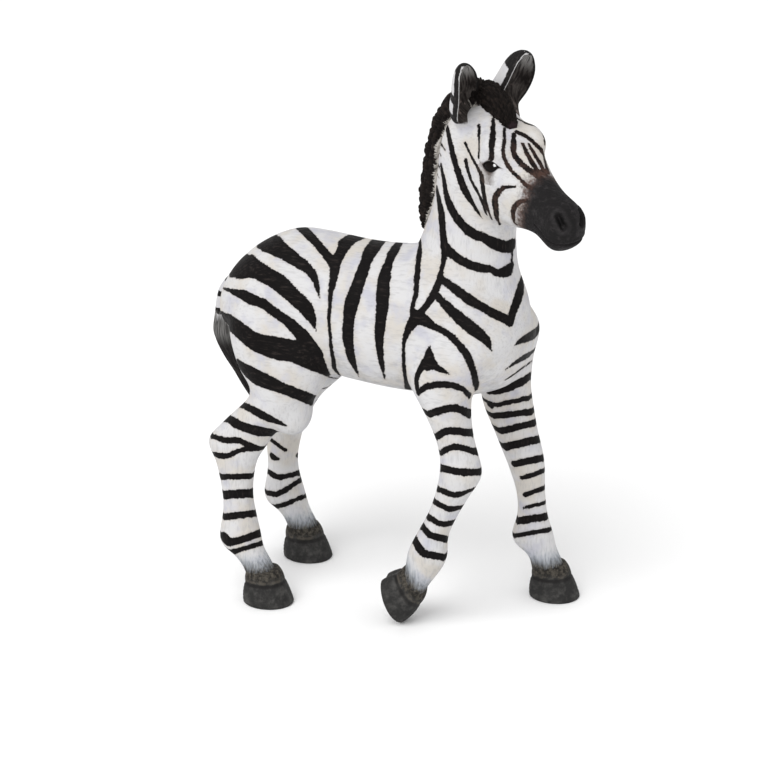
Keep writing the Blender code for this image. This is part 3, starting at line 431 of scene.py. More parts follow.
LEFT_HIND_SHARES = HIND_TOP_SHARES + (
    (0.572, -0.058, 0.057, 0.93, 0.74),
    (0.500, -0.104, 0.061, 0.96, 0.65),
    (0.439, -0.100, 0.065, 0.66, 0.60),
    (0.347, -0.106, 0.070, 0.50, 0.53),
    (0.286, -0.106, 0.074, 0.52, 0.55),
    (0.212, -0.105, 0.079, 0.68, 0.65),
    (0.176, -0.096, 0.081, 0.68, 0.60),
    (0.150, -0.070, 0.082, 0.53, 0.54),
    (0.098, -0.043, 0.086, 0.50, 0.58),
    (0.031, -0.030, 0.088, 0.56, 0.61),
)
LEGS = {
    "right_fore": (FORE_BENT_SHARES, FORE_ROOT, RIGHT, FORELEG_HEIGHT, FORE_CANNON),
    "left_fore": (FORE_STRAIGHT_SHARES, FORE_ROOT, LEFT, FORELEG_HEIGHT, FORE_CANNON),
    "right_hind": (RIGHT_HIND_SHARES, HIND_ROOT, RIGHT, HINDLEG_HEIGHT, HIND_CANNON),
    "left_hind": (LEFT_HIND_SHARES, HIND_ROOT, LEFT, HINDLEG_HEIGHT, HIND_CANNON),
}


# the fold of skin over the right knee cap, which stands out in front of the thigh
STIFLE_PLACE, STIFLE_RADII = np.array((-12.4, -7.2, 32.5)), np.array((3.6, 3.0, 4.7))


def leg_line(name):
    """The middle of the leg from its root down, and its half-depth and half-width there."""
    shares, root, side, height, (depth, width) = LEGS[name]
    rise, ahead, out, deep, wide = flowing(shares, 6).T
    middle = np.stack([root[0] + ahead * height, side * (root[1] + out * height), rise * height], 1)
    return middle, deep * depth, wide * width


def leg_rings(name):
    middle, deep, wide = leg_line(name)
    return ovals(middle, ASIDE, AHEAD, wide, deep, deep)


# Strokes on one side of a leg, and then the bands that go right round it.
LEG_STROKES = {
    "right_fore": {
        "arm": ((418.5, 393, 5), (427, 386.5, 7), (444.6, 384.5, 7), (460.7, 388, 6), (470, 396, 5)),
    },
    "right_hind": {
        "thigh": (
            (246, 371, 13), (256, 377, 14), (266, 381.5, 14), (285, 389.3, 11.5), (300, 395.2, 11),
            (312, 400, 9), (317, 402, 3),
        ),
        "gaskin_top": ((241, 404, 6), (252, 409.5, 7.5), (264, 416, 8), (276, 421.5, 6), (286, 425.5, 2)),
    },
    "left_fore": {"arm_spot": ((489, 404, 5), (491, 406, 5))},
    "left_hind": {
        "gaskin": ((271, 440, 4), (285, 450, 4)),
        "gaskin_spot": ((272, 456, 6), (275, 458, 5), (278, 459, 3)),
        "gaskin_far_spot": ((297, 455, 4), (299, 455, 4)),
    },
}
LEG_BANDS = {
    "right_fore": {
        "forearm": ((429, 414, 8), (453, 408, 8), (470, 414, 8)),
        "forearm_low": ((436, 437, 7), (449, 431, 8), (472, 433, 8)),
        "knee_top": ((439, 454, 6), (455, 447, 7), (477, 452, 6)),
        "knee": ((438, 467, 6), (460, 472, 8), (480, 472, 7)),
        "cannon_top": ((438, 489, 5), (455, 495, 6), (472, 490, 5)),
        "cannon": ((435, 502, 5), (449, 509, 6), (462, 507, 5)),
        "cannon_low": ((430, 518, 6), (442, 524, 6), (456, 522, 6)),
        "fetlock": ((422, 526, 5), (431, 535, 7), (449, 540, 7)),
        "pastern": ((414, 539, 7), (424, 553, 8), (447, 558, 7)),
    },
    "left_fore": {
        "forearm_top": ((497, 405, 5), (528.5, 398, 5)),
        "forearm": ((494, 416, 6), (530.5, 412, 7)),
        "forearm_low": ((501, 431, 7), (533.5, 423, 7)),
        "knee_top": ((505, 447, 8), (539.5, 439, 8)),
        "knee": ((514, 464, 7), (543, 458, 7)),
        "cannon_top": ((522, 478, 5), (541, 472, 5)),
        "cannon": ((525, 495, 5), (541, 489, 5)),
        "cannon_low": ((524, 508, 4), (544, 503, 4)),
        "fetlock": ((515, 521, 8), (545.5, 517, 8)),
        "pastern": ((514, 536, 5), (548, 530, 5)),
    },
    "right_hind": {
        "gaskin": ((227, 418, 8), (241, 426, 9), (258, 431, 10), (275, 433, 9)),
        "hock_top": ((212, 436, 5), (225, 440, 6), (240, 441, 6), (259, 449, 5)),
        "hock": ((212, 454, 4), (226, 456, 6), (238, 451, 5), (247, 449, 5)),
        "cannon_top": ((218, 477, 6), (251, 476, 6)),
        "cannon": ((224, 495, 9), (253, 493, 9)),
        "cannon_low": ((224.5, 517, 7), (256, 513, 7)),
        "fetlock": ((224, 538, 10), (233, 542, 8), (263, 532, 7)),
        "pastern": ((232.5, 552, 5), (262, 543, 5)),
    },
    "left_hind": {
        "cannon_top": ((270, 473, 5), (280, 477, 6), (299, 473, 5)),
        "cannon": ((267, 493, 5), (280, 493, 6), (303, 478, 4)),
        "cannon_low": ((271, 508, 4), (286, 504, 5), (299, 498, 4)),
    },
}

# The one sculpt
# Trunk, neck, head and legs were modelled as one figure and parted afterwards, so the surface and
# the brushwork run over the glued seams without a mark.
BODY_VOXEL = 0.27
SMOOTHING, HEAD_SMOOTHING, THROAT_BLEND = 0.48, 0.19, 4
ROUND = 0.66  # how far one round of smoothing moves a point towards its neighbours


def unit(ways):
    """The same ways, each of length 1."""
    return ways / np.maximum(np.linalg.norm(ways, axis=-1, keepdims=True), 1e-12)


def outward_normals(points, quads):
    """The normal of each point: the sum of the cross products of the diagonals of its faces."""
    a, b, c, d = (points[quads[:, k]] for k in range(4))
    face = np.cross(c - a, d - b)
    face = np.repeat(face, 4, 0).T
    return unit(np.stack([np.bincount(quads.ravel(), part, len(points)) for part in face], 1))


def relaxed(points, quads, amount, times):
    """Each point moves by its amount towards the mean of its neighbours, times over."""
    start, end = quads.ravel(), np.roll(quads, -1, 1).ravel()
    count = np.bincount(start, minlength=len(points))[:, None]
    amount = np.broadcast_to(amount, len(points))[:, None] * (count > 0)
    count = np.maximum(count, 1)
    for _ in range(times):
        near = points[end]
        mean = np.stack([np.bincount(start, near[:, k], len(points)) for k in range(3)], 1) / count
        points = points + (mean - points) * amount
    return points


def make_mesh(name, points, *faces):
    """A mesh from points and one or more arrays of faces, each with its own number of corners."""
    mesh = bpy.data.meshes.new(name)
    corners = np.concatenate([f.ravel() for f in faces]).astype(np.int32)
    sizes = np.concatenate([np.full(len(f), f.shape[1]) for f in faces])
    mesh.vertices.add(len(points))
    mesh.vertices.foreach_set("co", np.ascontiguousarray(points, np.float32).ravel())
    mesh.loops.add(len(corners))
    mesh.loops.foreach_set("vertex_index", corners)
    mesh.polygons.add(len(sizes))
    mesh.polygons.foreach_set("loop_start", (np.cumsum(sizes) - sizes).astype(np.int32))
    mesh.update(calc_edges=True)
    mesh.validate()
    mesh.shade_smooth()
    return mesh


def placed(name, data):
    """A new object in the scene."""
    made = bpy.data.objects.new(name, data)
    bpy.context.scene.collection.objects.link(made)
    return made


def read(rows, key, kind, each=1):
    """What a mesh says of all its points or corners, as an array."""
    found = np.empty(len(rows) * each, kind)
    rows.foreach_get(key, found)
    return found


def reskinned(shells, voxel):
    """One even skin of quads around shells that overlap."""
    starts = np.cumsum([0] + [len(shell[0]) for shell in shells])
    faces = (np.vstack([shell[k] + start for shell, start in zip(shells, starts)]) for k in (1, 2))
    mesh = make_mesh("sculpt", np.vstack([shell[0] for shell in shells]), *faces)
    clay = placed("sculpt", mesh)
    skin = clay.modifiers.new("skin", "REMESH")
    skin.mode, skin.voxel_size = "VOXEL", voxel
    done = clay.evaluated_get(bpy.context.evaluated_depsgraph_get()).to_mesh()
    points = read(done.vertices, "co", np.float32, 3).reshape(-1, 3).astype(float)
    corners = read(done.loops, "vertex_index", np.int32).reshape(-1, 4)
    bpy.data.objects.remove(clay)
    bpy.data.meshes.remove(mesh)
    return points, corners


shells = [closed_shell(trunk_rings()), closed_shell(neck_rings()), closed_shell(head_rings())]
for place, radii in (ORBIT, EAR_BOSS, JAW):
    shells += [closed_shell(egg_rings(place, radii, side)) for side in (RIGHT, LEFT)]
shells += [closed_shell(leg_rings(name)) for name in LEGS]
shells.append(closed_shell(ball_rings(STIFLE_PLACE, STIFLE_RADII)))
skin, quads = reskinned(shells, BODY_VOXEL)
past_throat = ((skin - HEAD_SEAM_PLACE) @ HEAD_SEAM_WAY + THROAT_BLEND / 2) / THROAT_BLEND
past_throat = np.clip(past_throat, 0, 1)
smoothing = SMOOTHING + (HEAD_SMOOTHING - SMOOTHING) * past_throat
rounds = int(math.ceil(SMOOTHING * 4 / (ROUND * BODY_VOXEL**2)))
skin = relaxed(skin, quads, ROUND * smoothing / SMOOTHING, rounds)
skin_normals = outward_normals(skin, quads)

# The brush strokes
# The stripes are laid on the sculpt with a brush, following the photograph where it shows them,
# and mirrored onto the side that it hides.
PHOTO_SIDE = 768
FOCAL_PIXELS = 2609.7
VIEW_AZIMUTH, VIEW_ELEVATION = 22, 21
VIEW_DISTANCE = 400.0
AIM = np.array((0, 0, 35.52))
PIXEL = VIEW_DISTANCE / FOCAL_PIXELS
FAR_OFF = 9.0
SIGHT_SLACK, EDGE_OF_VIEW, FACING_AWAY = 0.5, -0.05, -0.1
GAP_STEP, GAP_LEAST, GAP_MOST = 0.2, 0.4, 3
LEAD, LEAD_FADE = 0.25, 0.97
NARROWEST_STROKE, SLANT_LEAST, SLANT_MOST = 0.6, 0.9, 1.35
LEG_SIZE, LEG_SLACK = 1.3, 0.4
BAND_STEPS, BAND_THINNING, BAND_END = 40, 0.3, 0.1
FEATHER = 1.2  # how far from a stroke its edge still counts
AT_ONCE = 4000000


def way_out(azimuth, elevation):
    """The way from the figure to what stands at that azimuth and elevation in degrees:
    (sin a cos e, -cos a cos e, sin e)."""
    a, e = math.radians(azimuth), math.radians(elevation)
    return np.array((math.sin(a) * math.cos(e), -math.cos(a) * math.cos(e), math.sin(e)))


view_back = way_out(VIEW_AZIMUTH, VIEW_ELEVATION)
view_right = np.array((math.cos(math.radians(VIEW_AZIMUTH)), math.sin(math.radians(VIEW_AZIMUTH)), 0))
view_up = np.cross(view_back, view_right)
viewpoint = AIM + view_back * VIEW_DISTANCE
surface = BVHTree.FromPolygons(skin.tolist(), quads.tolist())


def seen_at(pixel):
    """Where the line of sight through a pixel meets the sculpt, and the normal there, or None."""
    x, y = pixel
    line = view_right * (x - PHOTO_SIDE / 2) + view_up * (PHOTO_SIDE / 2 - y) - view_back * FOCAL_PIXELS
    place, normal, _, _ = surface.ray_cast(Vector(viewpoint), Vector(line).normalized())
    return None if place is None else (np.array(place), np.array(normal))


def laid_down(centres, halves):
    """Samples moved onto the nearest part of the sculpt."""
    rows = []
    for centre, half in zip(centres, halves):
        place, normal, _, _ = surface.find_nearest(Vector(centre))
        rows.append((*place, half, *normal))
    return np.array(rows).reshape(-1, 7)


def evened(samples):
    """A stroke with more samples laid between those that are far apart, where the surface turns
    away from the photograph's view."""
    rows = [samples[:1]]
    for a, b in zip(samples[:-1], samples[1:]):
        gap = np.linalg.norm(b[:3] - a[:3])
        if GAP_LEAST < gap < GAP_MOST:
            share = GAP_STEP / gap
            between = a + (b - a) * np.arange(share, 1, share)[:, None]
            rows.append(laid_down(between[:, :3], between[:, 3]))
        rows.append(b[None])
    return np.vstack(rows)


def brushed(rows):
    """Samples of a stroke on the sculpt: centre, half-width, normal. Each row's pixel and the two
    at its edges are looked up, so that the width is true where the surface turns away."""
    rows = flowing(rows, 10)
    step = unit(np.gradient(rows[:, :2], axis=0))
    square = np.stack([-step[:, 1], step[:, 0]], 1)
    samples = []
    for (x, y, width), way in zip(rows, square):
        middle = seen_at((x, y))
        if middle is None:
            continue
        half = max(width, NARROWEST_STROKE) * PIXEL / 2
        edges = [seen_at((x + way[0] * s * width / 2, y + way[1] * s * width / 2)) for s in (-1, 1)]
        reach = [np.linalg.norm(edge[0] - middle[0]) for edge in edges if edge is not None]
        if reach:
            half = min(max(np.mean(reach), half * SLANT_LEAST), half * SLANT_MOST)
        samples.append((*middle[0], half, *middle[1]))
    return evened(np.array(samples).reshape(-1, 7))


def seen(samples):
    """True for each sample that the photograph's view reaches."""
    found = []
    for row in samples:
        place = surface.ray_cast(Vector(viewpoint), Vector(row[:3] - viewpoint).normalized())[0]
        found.append(place is not None and (Vector(row[:3]) - place).length < SIGHT_SLACK)
    return np.array(found, bool)


def mirrored(samples, axes):
    """The stroke on the other side of the foal's or the head's axes, where the photograph doesn't
    show it."""
    centres = carried(axes, carried(axes.inverted(), samples[:, :3]) * (1, -1, 1))
    twin = laid_down(centres, samples[:, 3])
    return twin[~seen(twin) & (twin[:, 4:] @ view_back < EDGE_OF_VIEW)]


def carried_on(samples, length):
    """A stroke with its start led on over the sculpt, past the edge of the photograph's view."""
    way = unit(samples[0, :3] - samples[min(4, len(samples) - 1), :3])
    place, half, rows = samples[0, :3], samples[0, 3], []
    for _ in range(int(length / LEAD)):
        near, normal, _, _ = surface.find_nearest(Vector(place + way * LEAD))
        way, place = unit(np.array(near) - place), np.array(near)
        half = half * LEAD_FADE
        rows.append((*place, half, *normal))
    return np.vstack([*rows[::-1], samples])


def leg_at(name, height):
    """The middle of the leg at a height, and the larger of its half-depth and half-width."""
    middle, deep, wide = leg_line(name)
    rows = np.column_stack([middle, np.maximum(deep, wide)])[np.argsort(middle[:, 2])].T
    return np.stack([np.interp(height, rows[2], row) for row in rows], -1)


def on_leg(samples, name):
    """Only the samples that lie on the leg, not on what is behind it."""
    axis = leg_at(name, samples[:, 2])
    away = np.linalg.norm(samples[:, :2] - axis[:, :2], axis=1)
    return samples[away < axis[:, 3] * LEG_SIZE + LEG_SLACK]


def round_the_leg(samples, name, share_of_turn=1.0):
    """A band led on round the far side of its leg, from its last sample towards its first."""

    def angle_of(row):
        out = row[:3] - leg_at(name, row[2])[:3]
        return math.atan2(out[1], out[0])

    away = math.atan2(-view_back[1], -view_back[0])
    first, last = angle_of(samples[0]), angle_of(samples[-1])
    turn = (first - last) % (2 * math.pi)
    if (away - last) % (2 * math.pi) > turn:
        turn -= 2 * math.pi
    usual, rows = np.median(samples[:, 3]), []
    for share in np.linspace(0, share_of_turn, BAND_STEPS):
        height = samples[-1, 2] + (samples[0, 2] - samples[-1, 2]) * share
        half = usual * (1 - BAND_THINNING * math.sin(math.pi * share))
        if share_of_turn < 1:
            half = usual * max(BAND_END, 1 - (share / share_of_turn) ** 2)
        angle = last + turn * share
        out = Vector((math.cos(angle), math.sin(angle), 0))
        place, normal, _, _ = surface.ray_cast(Vector(leg_at(name, height)[:3]), out, 8)
        if place is not None:
            normal = normal if normal.dot(out) > 0 else -normal
            rows.append((*place, half, *normal))
    return np.vstack([samples, *rows])


def stroke_field(points, normals, strokes):
    """For each point, the distance in millimetres to the edge of the nearest stroke, less than 0
    inside it. A stroke on a surface that faces the other way doesn't count."""
    field = np.full(len(points), FAR_OFF)
    for samples in strokes:
        centres, halves, faces = samples[:, :3], samples[:, 3], samples[:, 4:]
        low, high = (side - FEATHER - halves.max() for side in (centres.min(0), -centres.max(0)))
        near = np.flatnonzero(((points > low) & (points < -high)).all(1))
        for part in np.array_split(near, max(1, len(near) * len(samples) // AT_ONCE)):
            if len(part):
                gap = np.linalg.norm(points[part, None] - centres[None], axis=2) - halves
                gap = gap + FAR_OFF * (normals[part] @ faces.T < FACING_AWAY)
                field[part] = np.minimum(field[part], gap.min(1))
    return field


# strokes led on past the edge of the view, in millimetres, and those with no twin; nor has one
# whose name says that it is on the far side
CARRIED_ON = {
    "rump_top": 4, "rump": 4, "haunch": 3, "thigh": 2, "fork_rear_arm": 4, "fork_front_arm": 3.5,
    "flank": 3.5, "ribs": 3,
}
TWIN_CARRIED_ON = 1.5
ONE_SIDED = {"neck_low_edge", "face_outer", "face_inner", "nose_near", "nose_middle"}
OPEN_BANDS = {"left_fore": ("knee", "cannon_top", "cannon", "cannon_low")}
OPEN_TURN = 0.6
body_strokes = []
tables = {"trunk": TRUNK_STROKES, "neck": NECK_STROKES, "head": HEAD_STROKES, **LEG_STROKES}
for part, strokes in tables.items():
    for name, rows in strokes.items():
        samples = brushed(rows)
        if part in LEGS:
            samples = on_leg(samples, part)
        if name in CARRIED_ON:
            samples = carried_on(samples, CARRIED_ON[name])
        body_strokes.append(samples)
        if name not in ONE_SIDED and "far" not in name:
            twin = mirrored(samples, head_axes if part == "head" else Matrix())
            body_strokes.append(carried_on(twin, TWIN_CARRIED_ON) if name in CARRIED_ON else twin)
for leg, strokes in LEG_BANDS.items():
    for name, rows in strokes.items():
        samples = on_leg(brushed(rows), leg)
        if leg == "right_hind" and ("gaskin" in name or "hock" in name):
            body_strokes.append(mirrored(samples, Matrix()))
        turn = OPEN_TURN if name in OPEN_BANDS.get(leg, ()) else 1.0
        body_strokes.append(round_the_leg(samples, leg, turn))
body_strokes = [samples for samples in body_strokes if len(samples)]

# Parting the sculpt
# The master is sawn into seven mouldings: trunk, neck, head and four legs. Each is closed over
# its sawn faces, which are glued together.
eye_low, eye_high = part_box("right_eye")
EYE_PLACE = (0.320, 0.66, -0.215)
FIGURE_SHIFT = np.array((eye_low + eye_high) / 2) / MM - carried(head_axes, side_place(EYE_PLACE, RIGHT))
FOOT_SHARES = {
    "right_fore": (-0.221, 0.036, math.radians(66), math.radians(18)),
    "left_fore": (0.2125, 0.081, 0, math.radians(4)),
    "right_hind": (-0.010, 0.0865, 0, math.radians(4)),
    "left_hind": (-0.031, 0.0865, 0, math.radians(4)),
}
HOOF_LENGTH, HOOF_WIDTH, HOOF_HEIGHT = 7.9, 7.2, 5.4
HOOF_TOE_SHARE = 0.52
LEG_IN_HOOF = 0.5
# height, size, and how far the ring's middle lies behind the sole's middle, in hoof lengths
HOOF_SLICE_SHARES = (
    (0.00, 0.96, 0.000),
    (0.05, 1.00, 0.000),
    (0.35, 0.90, 0.045),
    (0.62, 0.80, 0.080),
    (0.70, 0.78, 0.090),
    (0.76, 0.80, 0.098),
    (0.90, 0.76, 0.115),
    (1.00, 0.69, 0.125),
)
HOOF_SLICES = np.array(HOOF_SLICE_SHARES)


def hoof_level(name, level):
    """The matrix of a level of the hoof, which leans back with height towards the crown's pitch."""
    _, root, side, height, _ = LEGS[name]
    ahead, out, pitch, ease = FOOT_SHARES[name]
    leant = pitch - ease * HOOF_SLICES[:, 0]
    tip = HOOF_SLICES[:, 1] * HOOF_TOE_SHARE * HOOF_LENGTH
    rise = max(0, (tip * np.sin(leant) - HOOF_HEIGHT * HOOF_SLICES[:, 0] * np.cos(leant)).max())
    sole = Vector((root[0] + ahead * height, side * (root[1] + out * height), rise))
    turned = Matrix.Translation(sole) @ Matrix.Rotation(pitch - ease * level, 4, "Y")
    return turned @ Matrix.Translation((0, 0, HOOF_HEIGHT * level))


def crown_of(name):
    """The middle of the hoof's crown, and the way from it down into the hoof."""
    crown = hoof_level(name, 1) @ Matrix.Translation((-HOOF_SLICE_SHARES[-1][2] * HOOF_LENGTH, 0, 0))
    return np.array(crown.translation), -np.array(crown.col[2].to_3d())


middles = skin[quads].mean(1)
MOULDINGS = ("trunk", "neck", "head", *(f"{name}leg" for name in LEGS))
TRUNK, NECK, HEAD = 0, 1, 2
label = np.full(len(quads), TRUNK)
label[(middles - NECK_SEAM_PLACE) @ NECK_SEAM_WAY > 0] = NECK
label[(middles - HEAD_SEAM_PLACE) @ HEAD_SEAM_WAY > 0] = HEAD
for number, (name, (_, _, side, _, _)) in enumerate(LEGS.items(), 3):
    fore = "fore" in name
    below = middles[:, 2] < BELLY_HEIGHT - SEAM_DROP["fore" if fore else "hind"]
    here = below & (middles[:, 0] * (1 if fore else -1) > 0) & (middles[:, 1] * side > 0)
    crown, down = crown_of(name)
    label[here] = number
    label[here & ((middles - crown) @ down > LEG_IN_HOOF)] = -1


def sides_of(faces):
    """The two ends of each side of each quad, in order."""
    return np.stack([faces, np.roll(faces, -1, 1)], -1).reshape(-1, 2)


owner = dict(zip(map(tuple, sides_of(quads).tolist()), np.repeat(label, 4).tolist()))


def sawn(number):
    """Points, faces and old point numbers of one moulding, with a fan over each sawn face."""
    mine = quads[label == number]
    used, faces = np.unique(mine, return_inverse=True)
    faces = faces.reshape(-1, 4)
    across = np.array([owner.get((b, a), -1) for a, b in sides_of(mine).tolist()])
    open_side = across != number
    rim, rim_local, across = sides_of(mine)[open_side], sides_of(faces)[open_side], across[open_side]
    points, fans = skin[used], []
    for other in np.unique(across):
        chosen = across == other
        points = np.vstack([points, skin[np.unique(rim[chosen])].mean(0)])
        middle = np.full(chosen.sum(), len(points) - 1)
        fans.append(np.stack([rim_local[chosen, 1], rim_local[chosen, 0], middle], 1))
    return points, faces, np.vstack(fans), used


def finer(points, faces, fans):
    """Each quad cut in four: new points at the middles of its edges and of itself."""
    ends = np.sort(np.vstack([sides_of(faces), fans[:, :2]]), 1)
    both, number = np.unique(ends, axis=0, return_inverse=True)
    number = number.ravel() + len(points)
    side, between = number[: faces.size].reshape(-1, 4), number[faces.size :]
    middle = np.arange(len(faces)) + len(points) + len(both)
    new = np.vstack([points, points[both].mean(1), points[faces].mean(1)])
    four = [np.stack([faces[:, k], side[:, k], middle, side[:, k - 1]], 1) for k in range(4)]
    halves = np.vstack(
        [np.stack([fans[:, 0], between, fans[:, 2]], 1), np.stack([between, fans[:, 1], fans[:, 2]], 1)]
    )
    return new, np.vstack(four), halves


# The coat
# Off-white paint in warm and cool washes, greyed with painted shade on the underside and in the hollows
# of the carved hair. Stripes and muzzle are brown-black acrylic, dry-brushed where they are broad, with
# edges that the bristles leave ragged. Each nostril has painted shade in its dent and a painted highlight on
# its rim.
PAINT_GLOSS = 0.06


class Tone:
    """A value or colour that a paint's nodes give. The signs + - * and abs make Math nodes."""

    def __init__(self, socket):
        self.socket = socket

    def __add__(self, other):
        return reckoned("ADD", self, other)

    def __sub__(self, other):
        return reckoned("SUBTRACT", self, other)

    def __mul__(self, other):
        return reckoned("MULTIPLY", self, other)

    def __abs__(self):
        return reckoned("ABSOLUTE", self)


def start_paint(name):
    """A new paint, which the functions below add their nodes to until the next one starts."""
    global paint, shader
    paint = bpy.data.materials.new(name)
    paint.use_nodes = True
    shader = paint.node_tree.nodes["Principled BSDF"].inputs
    shader["Specular IOR Level"].default_value = PAINT_GLOSS


def fill(sockets, values):
    for key, value in values.items():
        if isinstance(value, Tone):
            paint.node_tree.links.new(value.socket, sockets[key])
        else:
            sockets[key].default_value = value


def node(kind, values, out=0, **settings):
    made = paint.node_tree.nodes.new(kind)
    for key, value in settings.items():
        setattr(made, key, value)
    fill(made.inputs, values)
    return Tone(made.outputs[out])


def reckoned(operation, *values):
    return node("ShaderNodeMath", dict(enumerate(values)), operation=operation)


def mixed(share, low, high):
    low, high = ((*x, 1) if isinstance(x, tuple) else x for x in (low, high))
    return node("ShaderNodeMixRGB", {"Fac": share, "Color1": low, "Color2": high})


def eased(value, low, high, to_low=0.0, to_high=1.0):
    """Smooth step from to_low to to_high as the value goes from low to high."""
    ends = {"From Min": low, "From Max": high, "To Min": to_low, "To Max": to_high}
    return node("ShaderNodeMapRange", {"Value": value, **ends}, interpolation_type="SMOOTHSTEP")


def field(name):
    return node("ShaderNodeAttribute", {}, 2, attribute_name=name)


def noise(place, scale, detail, rough, swirl=0.0):
    place = node("ShaderNodeMapping", {"Vector": place, "Scale": scale})
    look = {"Scale": 1.0, "Detail": detail, "Roughness": rough, "Distortion": swirl}
    return node("ShaderNodeTexNoise", {"Vector": place, **look})


def cloudy(size, detail=3.0, rough=0.55, stretch=(1, 1, 1)):
    """Noise on object coordinates with features of that size in millimetres."""
    scale = tuple(s / (size * MM) for s in stretch)
    return noise(node("ShaderNodeTexCoord", {}, 3), scale, detail, rough)


def combed(around, along, detail, rough, swirl=0.0):
    """Noise on the piece's flow map, drawn out into strands."""
    return noise(node("ShaderNodeUVMap", {}, uv_map="flow"), (around, along, 1.0), detail, rough, swirl)


def dried(colour, roughness, relief, depth):
    """The paint in hand with its colour and roughness, and a relief that many millimetres deep."""
    bump = node("ShaderNodeBump", {"Height": relief, "Strength": 1.0, "Distance": depth * MM})
    fill(shader, {"Base Color": colour, "Roughness": roughness, "Normal": bump})
    return paint


def mud():
    """Brown and black dabs where the hoof meets the leg."""
    return mixed(eased(cloudy(0.6, 4, 0.7), 0.4, 0.65), (0.022, 0.020, 0.018), (0.085, 0.076, 0.062))


WHITE, CREAM, LILAC = (0.60, 0.595, 0.60), (0.56, 0.53, 0.49), (0.49, 0.49, 0.54)
PAINTED_SHADE_GREY, GROOVE_SHADE_GREY, BLUE_GREY = (0.31, 0.31, 0.32), (0.36, 0.355, 0.36), (0.30, 0.33, 0.37)
THIN_PAINT, SMUDGE = (0.44, 0.38, 0.33), (0.085, 0.060, 0.048)
BROWN_BLACK, DRY_BROWN, WARM_BROWN = (0.0052, 0.0043, 0.0044), (0.028, 0.022, 0.020), (0.040, 0.024, 0.019)
TAN, DARK_TAN = (0.080, 0.044, 0.034), (0.024, 0.016, 0.014)
SOOT, WORN_SOOT, DRY_SOOT = (0.0125, 0.0116, 0.0120), (0.034, 0.031, 0.032), (0.045, 0.041, 0.042)
NOSTRIL_RIM_HIGHLIGHT, NOSTRIL_HOLLOW_SHADE, LID_BLACK = (0.060, 0.055, 0.057), (0.003, 0.003, 0.003), (0.006, 0.005, 0.005)

start_paint("striped_coat")
wash = mixed(eased(cloudy(5), 0.42, 0.66), WHITE, CREAM)
wash = mixed(eased(cloudy(3.4, 4), 0.48, 0.72), wash, LILAC)
# painted shade: the coat is greyed where it faces downwards, from the shade field, broken up by cloudy
# patches, along with the grey wash airbrushed under the real figure
wash = mixed(eased(cloudy(1.6, 5, 0.65) + field("shade"), 0.62, 1.15, 0, 0.8), wash, PAINTED_SHADE_GREY)
groove = mixed(field("lie"), cloudy(0.30, 3, 0.6, (0.16, 1, 0.8)), cloudy(0.30, 3, 0.6, (1, 1, 0.16)))
# painted shade: grey in the hollows of the carved hair, where the groove relief is low
wash = mixed(eased(groove, 0.50, 0.34, 0, 0.32), wash, GROOVE_SHADE_GREY)
height = field("pastern") + (groove - 0.5) * 3.0
wash = mixed(eased(height, 3.6, 1.0, 0, 0.8), wash, BLUE_GREY)
ragged = (cloudy(0.9, 4, 0.6) - 0.5) * 0.46 + (cloudy(0.25, 2, 0.6) - 0.5) * 0.42
edge = field("stripe") + ragged
wash = mixed(eased(edge, 0.05, 0.40, 0.22, 0), wash, THIN_PAINT)
dry = eased(groove, 0.50, 0.72) * eased(edge, -0.15, -0.9)
ink = mixed(dry * 0.85, BROWN_BLACK, DRY_BROWN)
warm = eased(field("muzzle"), 8.5, 4.5) * eased(cloudy(0.8, 4), 0.40, 0.62)
ink = mixed(warm * 0.75, ink, WARM_BROWN)
colour = mixed(eased(edge, 0.05, -0.05), wash, ink)
fringe = (cloudy(0.7, 5, 0.75) - 0.5) * 5.0
brown = mixed(eased(cloudy(0.5, 3), 0.4, 0.7), TAN, DARK_TAN)
colour = mixed(eased(field("muzzle") + fringe, 1.7, -0.9, 0, 0.95), colour, brown)
soot = mixed(eased(cloudy(1.0, 4, 0.65), 0.5, 0.78), SOOT, WORN_SOOT)
soot = mixed(eased(groove, 0.52, 0.8, 0, 0.5), soot, DRY_SOOT)
# painted highlight: a paler ring on the raised rim round each nostril
soot = mixed(eased(abs(field("nostril") - 2.3), 1.1, 0.1, 0, 0.16), soot, NOSTRIL_RIM_HIGHLIGHT)
# painted shade: near-black inside the dent of each nostril
soot = mixed(eased(field("nostril"), 1.6, 0.6), soot, NOSTRIL_HOLLOW_SHADE)
colour = mixed(eased(field("muzzle") + fringe * 0.6, 0.0, -2.0), colour, soot)
bristles = (cloudy(0.6, 4, 0.7) - 0.5) * 0.9
colour = mixed(eased(field("smudge") + bristles, 1.30, 0.25, 0, 0.9), colour, SMUDGE)
colour = mixed(eased(field("lid"), 0.20, 0.06), colour, LID_BLACK)
colour = mixed(eased(height, 2.3, -0.4), colour, mud())
coat = dried(colour, eased(cloudy(1.2), 0.3, 0.7, 0.50, 0.64), groove, 0.10)


def add_piece(name, points, faces, paint, nodes, fields, flow=None):
    """A finished piece from points in millimetres in the figure's own frame. It rides on the body
    and stands for the CAD nodes. The fields become attributes that its paint reads, and flow is
    the UV map that its strands follow."""
    mesh = make_mesh(name, (points + FIGURE_SHIFT) * MM, *faces)
    for key, values in fields.items():
        mesh.attributes.new(key, "FLOAT", "POINT").data.foreach_set("value", values.astype(np.float32))
    if flow is not None:
        places = flow[read(mesh.loops, "vertex_index", np.int32)]
        mesh.uv_layers.new(name="flow").data.foreach_set("uv", places.astype(np.float32).ravel())
    mesh.materials.append(paint)
    piece = placed(name, mesh)
    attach(piece, "root")
    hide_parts(*nodes)
    return piece


def smooth_step(value, low, high):
    """3t^2 - 2t^3 of the share t of the way from low to high."""
    t = np.clip((value - low) / (high - low), 0, 1)
    return t * t * (3 - 2 * t)


UNDERSIDE_SHADE_SHARE = 0.42
MUZZLE_START = 0.60
EYE_RADIUS = 1.5
LID_HALF_LENGTH, LID_HALF_HEIGHT, LID_THICKNESS = 1.08, 0.66, 0.18
